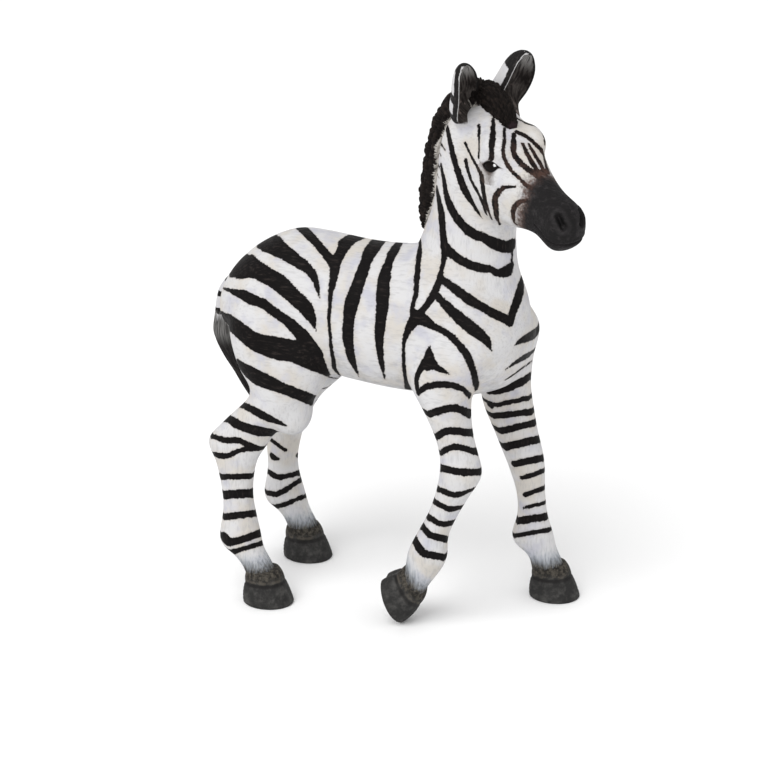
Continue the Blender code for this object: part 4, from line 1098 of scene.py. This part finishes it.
# the way that the gap between the lids faces, along it and across it, on the right side
EYE_WAYS = np.array(((0.536, -0.822, 0.192), (0.798, 0.565, 0.209), (-0.282, 0.041, 0.958)))
NOSTRIL_TOP_PIXEL, NOSTRIL_LOW_PIXEL = (558, 216), (564, 228)
NOSTRIL_ENDS = in_head(np.array([seen_at(p)[0] for p in (NOSTRIL_TOP_PIXEL, NOSTRIL_LOW_PIXEL)]))
NOSTRIL_HALF_WIDTH = 0.42
MOUTH_HEIGHT_SHARE, MOUTH_START_SHARE, MOUTH_REACH_SHARE = -0.525, 0.86, 0.145
MOUTH_SAG_SHARE = 0.04
MOUTH_TURN = math.radians(105)
MOUTH_DEPTH, MOUTH_HALF_WIDTH, MOUTH_REACH, LIP_HEIGHT = 0.26, 0.15, 1.2, 0.07
NOSTRIL_DEPTH, NOSTRIL_RIM_HEIGHT = 0.75, 0.08
LID_CREASE, EYE_SINK = 0.12, 0.35
SOCKET_EDGES = (2.3, 3.3)


def bell(value, width):
    """exp(-(value / width)^2)."""
    return np.exp(-((value / width) ** 2))


def lid_gap(place, side):
    """Distance from the middle of a ball, and from the almond between its lids, less than 0 inside:
    |across| - height * (1 - (along / length)^2), measured on the ball."""
    off = place - side_place(EYE_PLACE, side)
    reach = np.linalg.norm(off, axis=1)
    facing, along, across = EYE_WAYS @ (off / reach[:, None] * (1, -side, 1)).T
    bow = np.maximum(1 - (along * EYE_RADIUS / LID_HALF_LENGTH) ** 2, -1)
    gap = np.abs(across) * EYE_RADIUS - LID_HALF_HEIGHT * bow
    return off, reach, np.where(facing > 0, gap, FAR_OFF), along, across


def carve_eyes(place):
    """The skin near an eye moves along lines from the middle of the ball: under the ball inside the
    almond, and onto lids that stand over the ball around it."""
    for side in (RIGHT, LEFT):
        off, reach, gap, _, across = lid_gap(place, side)
        lid = EYE_RADIUS + LID_THICKNESS * np.where(across > 0, 1.5, 1.0)
        crease = LID_CREASE * bell(gap - 0.55, 0.14) * (across > -0.2)
        lidded = lid + (reach - lid) * smooth_step(gap, 0.12, 1.1) - crease
        new = EYE_RADIUS - EYE_SINK + (lidded - EYE_RADIUS + EYE_SINK) * smooth_step(gap, -0.06, 0.10)
        share = (1 - smooth_step(reach, *SOCKET_EDGES)) * (gap < 1.2)
        place = place + off * ((new / reach - 1) * share)[:, None]
    return place


def nostril_spread(place, side):
    """Distance from the line between the two ends of a nostril, over its half-width."""
    start, end = NOSTRIL_ENDS * (1, -side, 1)
    way = end - start
    share = np.clip((place - start) @ way / (way @ way), 0, 1)
    return np.linalg.norm(place - start - share[:, None] * way, axis=1) / NOSTRIL_HALF_WIDTH


def carve_nostrils(place, inward):
    """A slanted dent, a bell of the distance, with a low rim around it."""
    for side in (RIGHT, LEFT):
        spread = nostril_spread(place, side)
        depth = NOSTRIL_DEPTH * bell(spread, 1) - NOSTRIL_RIM_HEIGHT * bell(spread - 1.9, 0.6)
        place = place + inward * depth[:, None]
    return place


def carve_mouth(place, inward):
    """A groove, a bell of the distance from an arc round the lips, between two soft lips."""
    turn = np.linspace(-MOUTH_TURN, MOUTH_TURN, 90)
    along = (MOUTH_START_SHARE + MOUTH_REACH_SHARE * np.cos(turn)) * HEAD_LENGTH
    rise = (MOUTH_HEIGHT_SHARE - MOUTH_SAG_SHARE * np.clip(np.cos(turn), 0, 1)) * HEAD_DEPTH
    lips = np.stack([along, MUZZLE_WIDTH / 2 * np.sin(turn), rise], 1)
    near = np.flatnonzero(place[:, 0] > 0.7 * HEAD_LENGTH)
    flat = place[near][:, None] - lips[None]
    away = np.linalg.norm(flat[..., :2], axis=2)
    gap = np.abs(flat[..., 2])[np.arange(len(near)), away.argmin(1)]
    depth = MOUTH_DEPTH * bell(gap, MOUTH_HALF_WIDTH) - LIP_HEIGHT * bell(gap - 0.5, 0.3)
    place[near] += inward[near] * (depth * (away.min(1) < MOUTH_REACH))[:, None]
    return place


def carved_head(points, normals):
    inward = -normals @ np.array(head_axes.to_3x3())
    place = carve_mouth(carve_nostrils(carve_eyes(in_head(points)), inward), inward)
    return carried(head_axes, place)


def head_fields(points):
    """For each point of the head, the distance behind the edge of the black muzzle, less than 0
    inside it; from the gap between the nearer lids; from it with more added above and before the
    eye, for the grey smudged below and behind it; and from the nearer nostril in half-widths."""
    place = in_head(points)
    along, side, rise = (place / HEAD_UNITS).T
    edge = MUZZLE_START + 0.06 * (rise + 0.45) + 0.05 * np.abs(side) - 0.03 * smooth_step(rise, -0.35, -0.1)
    lids, smudges = [], []
    for hand in (RIGHT, LEFT):
        _, reach, gap, along_lid, across_lid = lid_gap(place, hand)
        lids.append(np.where(reach < 3.2, gap, FAR_OFF))
        beyond = 0.7 * smooth_step(across_lid, -0.1, 0.5) + 1.0 * smooth_step(along_lid, -0.1, 0.7)
        smudges.append(lids[-1] + beyond)
    nostrils = [nostril_spread(place, hand) for hand in (RIGHT, LEFT)]
    found = {"lid": np.min(lids, 0), "smudge": np.min(smudges, 0), "nostril": np.min(nostrils, 0)}
    return {"muzzle": (edge - along) * HEAD_LENGTH, **found}


for number, moulding in enumerate(MOULDINGS):
    points, faces, fans, used = sawn(number)
    normals = np.vstack([skin_normals[used], np.tile((0, 0, 1.0), (len(points) - len(used), 1))])
    if number == HEAD:
        both, faces, fans = finer(np.hstack([points, normals]), faces, fans)
        points, normals = both[:, :3], both[:, 3:]
        own = smooth_step((points - HEAD_SEAM_PLACE) @ HEAD_SEAM_WAY, 0, 1)
        points = relaxed(points, faces, own / 2, 3)
        points = carved_head(points, outward_normals(points, faces))
        normals = unit(normals + (outward_normals(points, faces) - normals) * own[:, None])
    fields = dict.fromkeys(("muzzle", "pastern", "lid", "smudge", "nostril"), np.full(len(points), FAR_OFF))
    fields["stripe"] = stroke_field(points, normals, body_strokes)
    # painted shade: the more a face looks down, the greyer the coat is painted, for the shade under the
    # belly and legs
    fields["shade"] = np.clip(-normals[:, 2], 0, 1) * UNDERSIDE_SHADE_SHARE
    fields["lie"] = np.full(len(points), float(number > HEAD or number == NECK))
    if number == HEAD:
        fields.update(head_fields(points))
    if number > HEAD:
        crown, down = crown_of(moulding.removesuffix("leg"))
        fields["pastern"] = (points - crown) @ -down
    piece = add_piece(f"{moulding}_moulding", points, (faces, fans), coat, [moulding], fields)
    # the whole sculpt's normals carry the light evenly over the glued edges
    piece.data.normals_split_custom_set_from_vertices(normals.tolist())

# The hooves
# Four small castings glued under the legs on round pegs, brushed matte charcoal and mottled with
# grey. The walls are ringed like horn, and the heel has a cleft.
HEEL_CLEFT_SHARE, HEEL_CLEFT_ANGLE = 0.09, math.radians(20)
HORN_RING_SHARE, HORN_RINGS = 0.006, 60
HOOF_SIDES = 72
# height, reach to the toe and to the heel in hoof lengths, half-width in hoof widths
HOOF_WALL_SHARES = (
    (0.00, 0.500, 0.480, 0.470),
    (0.05, 0.520, 0.515, 0.500),
    (0.20, 0.485, 0.525, 0.485),
    (0.35, 0.450, 0.520, 0.462),
    (0.50, 0.410, 0.500, 0.432),
    (0.58, 0.384, 0.482, 0.414),
    (0.64, 0.362, 0.462, 0.396),
    (0.70, 0.358, 0.462, 0.396),
    (0.80, 0.342, 0.456, 0.388),
    (0.90, 0.315, 0.440, 0.368),
    (1.00, 0.270, 0.415, 0.340),
)
HOOF_WALL = flowing(HOOF_WALL_SHARES, 6)
HORN, PALE_HORN, HORN_GREY = (0.028, 0.0275, 0.027), (0.070, 0.068, 0.065), (0.095, 0.090, 0.082)
CROWN_SHADOW, WORN_HORN = (0.012, 0.011, 0.011), (0.120, 0.102, 0.080)


def hoof_rings(name):
    """Rings from the sole to the crown, with their own reach to the toe and to the heel. The heel
    has a notch, a bell of the angle from it, and the wall is ringed by sin(rings * height)."""
    angle = 2 * np.pi * np.arange(HOOF_SIDES) / HOOF_SIDES
    from_heel = np.arctan2(np.sin(angle), -np.cos(angle))
    cleft = HEEL_CLEFT_SHARE * bell(from_heel, HEEL_CLEFT_ANGLE)
    rings = []
    for level, toe, heel, half in HOOF_WALL:
        size = 1 + HORN_RING_SHARE * math.sin(level * HORN_RINGS) * min(1, level * 12) * (level < 0.62)
        forward = (np.where(np.cos(angle) > 0, toe, heel) * np.cos(angle) + cleft) * HOOF_LENGTH
        flat = np.stack([size * forward, size * half * np.sin(angle) * HOOF_WIDTH, 0 * angle], 1)
        rings.append(carried(hoof_level(name, level), flat))
    return np.array(rings)


def on_shell(grid, rings, ends=None):
    """A value on each point of the shell round the rings, and on its two ends, where it is the
    first and the last of the grid if no ends are given."""
    grid = np.broadcast_to(grid, rings.shape[:2])
    return np.append(grid, (grid[0, 0], grid[-1, 0]) if ends is None else ends)


start_paint("hoof")
horn = mixed(eased(cloudy(1.5, 5, 0.65), 0.42, 0.72), HORN, PALE_HORN)
horn = mixed(eased(cloudy(0.6, 4, 0.7), 0.55, 0.8, 0, 0.5), horn, HORN_GREY)
horn = mixed(eased(field("level") + cloudy(0.7, 4, 0.7) * 0.30, 0.84, 1.04), horn, mud())
horn = mixed(eased(abs(field("level") - 0.65), 0.09, 0.02, 0, 0.7), horn, CROWN_SHADOW)
worn = eased(abs(field("level") - 0.74), 0.065, 0.01) * eased(cloudy(1.2, 3), 0.42, 0.62, 0, 0.4)
horn = mixed(worn, horn, WORN_HORN)
hoof_paint = dried(horn, 0.62, cloudy(0.5, 4, 0.65, (1, 1, 2.2)), 0.05)
for name in LEGS:
    rings = hoof_rings(name)
    points, *faces = closed_shell(rings)
    fields = {"level": on_shell(HOOF_WALL[:, :1], rings)}
    add_piece(f"{name}_hoof_horn", points, faces, hoof_paint, [f"{name}_hoof"], fields)

# The ears
# Two thin cups, each glued into the skull by a round root. The rim and tip are black, a fine
# white line runs inside the rim, and the back is white between black bands.
EAR_LENGTH, EAR_WIDTH = 9.7, 5.4
EAR_PLACE = {RIGHT: (-0.035, 0.69, 0.00), LEFT: (-0.035, 0.62, 0.00)}
EAR_BACK_SHARE = 0.40
EAR_INWARD, EAR_LEAN = math.radians(17), math.radians(-4)
EAR_SPLAY = {RIGHT: math.radians(9.5), LEFT: math.radians(15.5)}
# height, width, hollow from full to scooped, lean of the middle to the rear
EAR_SLICE_SHARES = (
    (-0.08, 0.54, -1.00, 0.00),
    (0.00, 0.62, -1.00, 0.00),
    (0.08, 0.78, -0.40, 0.00),
    (0.18, 0.93, 0.30, 0.02),
    (0.32, 1.03, 0.55, 0.04),
    (0.52, 1.00, 0.60, 0.05),
    (0.70, 0.90, 0.58, 0.03),
    (0.85, 0.68, 0.45, -0.01),
    (0.95, 0.40, 0.10, -0.04),
    (1.00, 0.12, -0.60, -0.06),
)
EAR_ARC = 56
EAR_LIP = 0.42
EAR_TURN = {RIGHT: math.radians(12), LEFT: math.radians(34)}
EAR_FULL = {RIGHT: 1.09, LEFT: 1.24}
EAR_DEPTH = {RIGHT: 1.0, LEFT: 1.35}
EAR_BLACK, EAR_WORN = (0.012, 0.011, 0.011), (0.05, 0.045, 0.042)
EAR_HOLLOW, EAR_HAIR = (0.016, 0.013, 0.012), (0.085, 0.074, 0.068)
EAR_PALE, EAR_TUFT, EAR_LINE = (0.36, 0.35, 0.34), (0.30, 0.24, 0.22), (0.55, 0.54, 0.54)
EAR_WHITE, EAR_COOL_WHITE = (0.60, 0.585, 0.57), (0.50, 0.50, 0.53)


def ear_axes(side):
    base = Matrix.Translation(side_place(EAR_PLACE[side], side))
    splay = Matrix.Rotation(-side * EAR_SPLAY[side], 4, "X")
    lean = Matrix.Rotation(-EAR_LEAN, 4, "Y")
    turn = -side * EAR_INWARD + EAR_TURN[side]
    return head_axes @ base @ splay @ lean @ Matrix.Rotation(turn, 4, "Z")


def ear_rings(side):
    """Crescent rings up a leaf: the outer arc is (-back * sin, half * cos) of the angle, and the
    inner arc (lift - scoop * sin, (half - rim / 2) * cos) runs back inside it. With them come the
    height, the place across, and the way along the ring to the rim, less than 0 on the back."""
    rows = flowing(EAR_SLICE_SHARES, 7) * (1, EAR_FULL[side], 1, 1)
    angle = np.pi * np.arange(EAR_ARC) / (EAR_ARC - 1)
    back_way = angle[-2:0:-1]
    sign = np.concatenate([-np.ones(len(angle)), np.ones(len(back_way))])
    rings, rim_gap = [], []
    for rise, width, hollow, lean in rows:
        half, back = EAR_WIDTH / 2 * width, EAR_DEPTH[side] * EAR_BACK_SHARE * EAR_WIDTH * width
        rim = min(EAR_LIP, half / 2)
        scoop = min(hollow * back * 1.25, back - EAR_LIP)
        outer = np.stack([-back * np.sin(angle), half * np.cos(angle), 0 * angle], 1)
        lift = rim / 2 * np.abs(np.cos(back_way))
        inner = [lift - scoop * np.sin(back_way), (half - rim / 2) * np.cos(back_way), 0 * back_way]
        inner = np.stack(inner, 1)
        rings.append(np.vstack([outer, inner]) + np.array((lean * EAR_LENGTH, 0, rise * EAR_LENGTH)))
        from_rim = []
        for arc in (outer, np.vstack([outer[-1:], inner, outer[:1]])):
            way = np.append(0, np.cumsum(np.linalg.norm(np.diff(arc, axis=0), axis=1)))
            from_rim.append(np.minimum(way, way[-1] - way))
        from_rim = np.concatenate([from_rim[0], from_rim[1][1:-1]])
        rim_gap.append(sign * np.minimum(from_rim, (1 - rise) * EAR_LENGTH))
    around = np.concatenate([np.cos(angle), np.cos(back_way)])
    return carried(ear_axes(side), np.array(rings)), rows[:, :1], around, np.array(rim_gap)


def within(value, low, high):
    return eased(value, low - 0.02, low) * eased(value, high + 0.02, high)


def ear_paint(name, white_from, white_to, low_from, low_to, fur):
    start_paint(name)
    wobble = (cloudy(0.7, 4, 0.65) - 0.5) * 0.5
    rim = field("rim") + wobble
    up = field("up") + wobble * 0.12
    across = field("across")
    black = mixed(eased(cloudy(0.5, 4, 0.7), 0.5, 0.8), EAR_BLACK, EAR_WORN)
    strands = combed(26.0, 5.0, 3.0, 0.6)
    hollow = mixed(eased(strands, 0.38, 0.7), EAR_HOLLOW, EAR_HAIR)
    pale = eased(up, 0.56, 0.88, 0, 0.9) * eased(across, -0.2, 0.6) * eased(strands, 0.3, 0.55)
    hollow = mixed(pale, hollow, EAR_PALE)
    tuft = eased(up, 0.46, 0.36) * eased(abs(across), 0.75, 0.35) * eased(cloudy(1.1, 3), 0.52, 0.66)
    hollow = mixed(tuft * 0.6, hollow, EAR_TUFT)
    colour = mixed(eased(rim - eased(across, -0.3, 0.3, 0.12, 0.5), -0.05, 0.15), black, hollow)
    line = eased(abs(rim - 0.14), 0.17, 0.08, 0, 0.85) * (eased(across, 0.1, -0.3) * eased(up, 0.10, 0.2))
    colour = mixed(line, colour, EAR_LINE)
    white = reckoned("MAXIMUM", within(up, white_from, white_to), within(up, low_from, low_to))
    white = reckoned("MAXIMUM", white * eased(rim, -0.80, -0.95), eased(up, fur + 0.02, fur - 0.02))
    colour = mixed(white, colour, mixed(cloudy(1.5, 4), EAR_WHITE, EAR_COOL_WHITE))
    return dried(colour, 0.6, strands, 0.08)


EAR_PAINTS = {
    "right": ear_paint("right_ear", 0.62, 0.94, 0.27, 0.45, 0.06),
    "left": ear_paint("left_ear", 0.28, 0.72, 0.10, 0.12, 0.0),
}
for hand, side in (("right", RIGHT), ("left", LEFT)):
    rings, up, across, rim_gap = ear_rings(side)
    points, *faces = closed_shell(rings)
    points = relaxed(points, faces[0], 0.5, 3)
    fields = {"up": on_shell(up, rings), "across": on_shell(across, rings, (0, 0))}
    fields["rim"] = on_shell(rim_gap, rings, (-1, -1))
    flow = np.stack([fields["across"] / 2, fields["up"]], 1)
    add_piece(f"{hand}_ear_cup", points, faces, EAR_PAINTS[hand], [f"{hand}_ear"], fields, flow)

# The eyes
# A glossy black ball in a socket on each side of the head, behind the lids of the head moulding,
# with a painted highlight: a white spot where a lamp's reflection would shine.
EYE_BLACK, EYE_BROWN, PAINTED_HIGHLIGHT_WHITE = (0.003, 0.0025, 0.0025), (0.010, 0.007, 0.006), (0.80, 0.80, 0.80)
HIGHLIGHT_PIXEL = (495, 165.5)
start_paint("eye_gloss")
ball = mixed(cloudy(0.5, 3), EYE_BLACK, EYE_BROWN)
# painted highlight: a white spot on the ball, placed where the lamp's reflection shows
ball = mixed(eased(field("highlight_spot"), 0.31, 0.18), ball, PAINTED_HIGHLIGHT_WHITE)
fill(shader, {"Base Color": ball, "Roughness": 0.10, "Specular IOR Level": 0.07})
highlight_way = unit(in_head(seen_at(HIGHLIGHT_PIXEL)[0]) - side_place(EYE_PLACE, RIGHT))
for hand, side in (("right", RIGHT), ("left", LEFT)):
    # the poles of the ball lie along the face
    points, *faces = closed_shell(egg_rings(EYE_PLACE, EYE_RADIUS / HEAD_UNITS, side))
    way = points - carried(head_axes, side_place(EYE_PLACE, side))
    highlight_spot = highlight_way * (1, -side, 1) @ np.array(head_axes.to_3x3()).T
    fields = {"highlight_spot": np.linalg.norm(way / EYE_RADIUS - highlight_spot, axis=1) * EYE_RADIUS}
    add_piece(f"{hand}_eye_ball", points, faces, paint, [f"{hand}_eye"], fields)

# The mane
# One casting along the crest of the neck, from the withers to the poll, carved in upright
# overlapping locks and brushed brown-black, with painted highlights on the crests of the locks.
MANE_HEIGHT, MANE_THICKNESS, HAIR_ROOT = 3.4, 3.4, 1.2
HAIR_SIDES = 96
LOCK_LENGTH, LOCK_WIDTH, LOCK_FLATNESS, LOCK_LEAN = 1.15, 0.85, 0.85, 0.6
# height up the neck, mane height, mane thickness
MANE_SLICE_SHARES = (
    (0.480, 0.12, 0.40),
    (0.530, 0.50, 0.70),
    (0.640, 0.84, 0.90),
    (0.780, 0.80, 1.00),
    (0.900, 0.76, 1.00),
    (1.000, 0.72, 1.00),
    (1.080, 0.78, 1.04),
    (1.140, 1.00, 1.08),
    (1.170, 1.10, 1.08),
)
HAIR_BLACK, HAIR_DRY, LOCK_CREST_HIGHLIGHT = (0.0075, 0.0060, 0.0056), (0.027, 0.021, 0.018), (0.030, 0.021, 0.017)
HAIR_TAN = (0.040, 0.025, 0.030)


def lock_heights(along, around, lengthwise, crosswise, seed):
    """Overlapping locks of hair on a grid of shares along and around: the height is the greatest,
    over the locks, of (1 - squared distance from the lock's middle) leaning up to its tip."""
    dice = np.random.default_rng(seed)
    rows, columns = np.meshgrid(np.arange(-1, lengthwise + 1), np.arange(crosswise), indexing="ij")
    row = (rows + 0.5 + (columns % 2) * 0.5 + dice.uniform(-0.3, 0.3, rows.shape)).ravel() / lengthwise
    column = (columns + 0.5 + dice.uniform(-0.3, 0.3, rows.shape)).ravel() / crosswise
    size = dice.uniform(0.8, 1.15, len(row))
    ahead = (along[..., None] - row) * lengthwise / LOCK_LENGTH
    aside = ((around[..., None] - column + 0.5) % 1 - 0.5) * crosswise / LOCK_WIDTH
    mound = 1 - (ahead**2 + aside**2) / size
    return (np.clip(mound, 0, 1) ** LOCK_FLATNESS * (1 + LOCK_LEAN * ahead) * size).max(-1)


def add_hair(name, rings, middles, axes, paint, hair_node, locks, lift, sink, ease=1.0):
    """A casting whose rings are pushed out from their middles by ease * (lock height * lift - sink),
    with its locks as attributes and its flow map along and around it."""
    along = np.linspace(0, 1, len(rings))[:, None] + np.zeros((1, HAIR_SIDES))
    around = np.zeros((len(rings), 1)) + np.arange(HAIR_SIDES)[None] / HAIR_SIDES
    heights = lock_heights(along, around, *locks)
    push = unit(rings - middles[:, None]) * ((heights * lift - sink) * ease)[..., None]
    rings = carried(axes, rings + push)
    points, *faces = closed_shell(rings)
    flow = np.stack([on_shell(along, rings), on_shell(around, rings)], 1)
    fields = {"lock": on_shell(heights, rings, (0, 0)), "along": flow[:, 0]}
    fields["rise"] = np.sin(2 * np.pi * flow[:, 1])
    add_piece(name, points, faces, paint, [hair_node], fields, flow)


def hair_paint(name, around, along, tan_end=False):
    start_paint(name)
    strands = combed(around, along, 4.0, 0.65, 0.4)
    dark = mixed(eased(strands, 0.45, 0.75), HAIR_BLACK, HAIR_DRY)
    # painted highlight: the crests of the raised locks are painted brown
    colour = mixed(eased(field("lock") + cloudy(0.5, 3) * 0.4, 1.05, 1.5, 0, 0.5), dark, LOCK_CREST_HIGHLIGHT)
    if tan_end:
        tan = eased(field("along") + strands * 0.16, 0.98, 1.07, 0, 0.9)
        colour = mixed(tan, colour, HAIR_TAN)
    else:
        patches = cloudy(2.6, 1) - field("rise") * 0.9
        colour = mixed(eased(strands * 1.2 + patches, 1.02, 1.12, 0, 0.85), colour, CREAM)
    return dried(colour, 0.66, strands, 0.30)


def mane_rings():
    """The crest of the neck, and ovals that stand on it."""
    rise, high, thick = flowing(MANE_SLICE_SHARES, 26).T
    neck = flowing(NECK_SLICE_SHARES, 6).T
    _, ahead, side, _, rear, _ = (np.interp(rise, neck[0], column) for column in neck)
    crest = NECK_BASE + np.stack([ahead, side, rise], 1) * NECK_RISE
    crest = crest - AHEAD * (rear * NECK_DEPTH)[:, None]
    line = unit(np.gradient(crest, axis=0))
    out = np.cross(line, ASIDE)
    across = np.cross(out, line)
    half = MANE_THICKNESS / 2 * thick
    return ovals(crest, across, out, half, MANE_HEIGHT * high, HAIR_ROOT, HAIR_SIDES), crest


mane_hair = hair_paint("mane", 110.0, 10.0)
add_hair("mane_locks", *mane_rings(), Matrix(), mane_hair, "neck_mane", (27, 15, 3), 0.80, 1.02)

# The forelock
# A casting that lies on the skull from the poll to the brow, in locks that fall forwards, with
# a tan tip.
FORELOCK_THICKNESS, FORELOCK_HEIGHT = 4.4, 3.6
# along the head, height of its middle, thickness across, height out of the skull
FORELOCK_SLICE_SHARES = (
    (-0.16, 0.10, 0.75, 0.90),
    (-0.06, 0.17, 1.00, 1.00),
    (0.04, 0.20, 1.00, 1.00),
    (0.13, 0.20, 0.90, 0.90),
    (0.19, 0.18, 0.80, 0.72),
    (0.235, 0.155, 0.66, 0.50),
    (0.265, 0.135, 0.35, 0.20),
)
along, rise, wide, high = flowing(FORELOCK_SLICE_SHARES, 16).T
middles = np.stack([along, 0 * along, rise], 1) * HEAD_UNITS
half = FORELOCK_THICKNESS / 2 * wide
rings = ovals(middles, ASIDE, UPWARD, half, FORELOCK_HEIGHT * high, HAIR_ROOT * high, HAIR_SIDES)
ease = np.clip(np.minimum(high * 1.6, 1), 0.3, 1)[:, None]
forelock_hair = hair_paint("forelock", 9.0, 80.0, True)
add_hair(
    "forelock_locks", rings, middles, head_axes, forelock_hair, "forelock", (14, 21, 8), 0.75, 1.10, ease
)

# The tail
# A casting that hangs against the rump. Its dock is white with fine black bars, and
# the tuft is grey to black, combed downwards.
TAIL_LENGTH, TAIL_THICKNESS = 23.0, 4.0
TAIL_SIDES = 112
TAIL_SWAY, TAIL_FULLNESS = -0.07, 1.06
# strands round the tail and how they wind with the fall, and how deep they are combed
COARSE_STRANDS, COARSE_WINDING, FINE_STRANDS, FINE_WINDING = 7, 5, 11, 7
STRAND_DEPTH = 0.10
DOCK = trunk_place(0.0, 0, 0.625)
# forward and down of the dock in tail lengths, half-thickness
TAIL_SLICE_SHARES = (
    (0.130, -0.040, 0.35),
    (0.085, 0.030, 0.60),
    (0.012, 0.140, 0.68),
    (0.010, 0.320, 0.90),
    (0.032, 0.460, 1.03),
    (0.153, 0.660, 0.93),
    (0.200, 0.780, 0.66),
    (0.205, 0.860, 0.24),
)
TAIL_WHITE, TAIL_COOL_WHITE = (0.59, 0.58, 0.58), (0.45, 0.45, 0.48)
TAIL_GREY, TAIL_PALE_GREY = (0.045, 0.043, 0.042), (0.20, 0.197, 0.19)
TAIL_BLACK, TAIL_WORN_BLACK = (0.011, 0.010, 0.010), (0.040, 0.036, 0.034)


def tail_rings():
    """Round rings down the tail, grooved by |cos| of the angle and the fall, as combed strands."""
    ahead, down, half = flowing(TAIL_SLICE_SHARES, 18).T
    sway = TAIL_SWAY * np.clip((down - 0.1) / 0.5, 0, 1)
    centre = DOCK + np.stack([ahead, sway, -down], 1) * TAIL_LENGTH
    down, half = down[:, None], half[:, None]
    angle = 2 * np.pi * np.arange(TAIL_SIDES) / TAIL_SIDES
    hairy = np.clip((down - 0.10) / 0.35, 0, 1)
    groove = np.abs(np.cos(angle * COARSE_STRANDS + COARSE_WINDING * down))
    groove = groove + 0.6 * np.abs(np.cos(angle * FINE_STRANDS - FINE_WINDING * down))
    radius = TAIL_FULLNESS * TAIL_THICKNESS / 2 * half * (1 + hairy * (groove - 0.95) * STRAND_DEPTH)
    spread = ASIDE * np.cos(angle)[:, None] + AHEAD * np.sin(angle)[:, None]
    return centre[:, None] + spread[None] * radius[..., None], down, angle / (2 * np.pi)


start_paint("tail")
strands = combed(46.0, 7.0, 4.0, 0.6)
down = field("down") + (strands - 0.5) * 0.22
bars = reckoned("SINE", (field("down") - 0.14) * 57.0) + (cloudy(1.0, 3) - 0.5) * 1.6
dock = mixed(eased(bars, 0.45, 0.62), mixed(cloudy(1.5, 3), TAIL_WHITE, TAIL_COOL_WHITE), BROWN_BLACK)
grey = mixed(eased(strands, 0.35, 0.65), TAIL_GREY, TAIL_PALE_GREY)
black = mixed(eased(strands, 0.45, 0.75), TAIL_BLACK, TAIL_WORN_BLACK)
colour = mixed(eased(down, 0.41, 0.52), mixed(eased(down, 0.27, 0.33), dock, grey), black)
tail_paint = dried(colour, 0.62, strands, 0.14)
rings, down, around = tail_rings()
points, *faces = closed_shell(rings)
fall = on_shell(down, rings)
flow = np.stack([on_shell(around, rings), fall], 1)
add_piece("tail_hair", points, faces, tail_paint, ["tail"], {"down": fall}, flow)

# The stage
# A pale floor, one broad soft lamp from the front left and above, and a bright even room.
FLOOR_REACH, CAMERA_SENSOR, ROOM_LIGHT = 2.0, 36, 0.80
corners = np.array(((-1, -1, 0), (1, -1, 0), (1, 1, 0), (-1, 1, 0))) * FLOOR_REACH
start_paint("floor")
fill(shader, {"Base Color": (0.97, 0.97, 0.97, 1), "Roughness": 0.9})
floor = placed("floor", make_mesh("floor", corners, np.arange(4)[None]))
floor.data.materials.append(paint)

world = bpy.data.worlds.new("room")
bpy.context.scene.world = world
world.use_nodes = True
sky = world.node_tree.nodes["Background"].inputs
sky["Color"].default_value, sky["Strength"].default_value = (1, 1, 1, 1), ROOM_LIGHT

centre = Vector((AIM + FIGURE_SHIFT) * MM)


def add_lamp(name, azimuth, elevation, distance, size, power):
    back = Vector(way_out(azimuth, elevation))
    data = bpy.data.lights.new(name, "AREA")
    data.shape, data.size, data.energy = "DISK", size, power
    lamp = placed(name, data)
    lamp.location = centre + back * distance
    lamp.rotation_euler = (-back).to_track_quat("-Z", "Y").to_euler()
    return lamp


add_lamp("main_lamp", -15, 52, 2.0, 1.5, 23.5)
add_lamp("front_lamp", 31, 9, 0.6, 0.14, 0.95).visible_diffuse = False

camera_data = bpy.data.cameras.new("camera")
camera_data.sensor_width = CAMERA_SENSOR
camera_data.lens = FOCAL_PIXELS * CAMERA_SENSOR / PHOTO_SIDE
camera_data.clip_start, camera_data.clip_end = 0.01, 10
camera = placed("camera", camera_data)
camera.location = Vector((viewpoint + FIGURE_SHIFT) * MM)
camera.rotation_euler = Vector(-view_back).to_track_quat("-Z", "Y").to_euler()
bpy.context.scene.camera = camera
bpy.context.scene.view_settings.view_transform = "Standard"
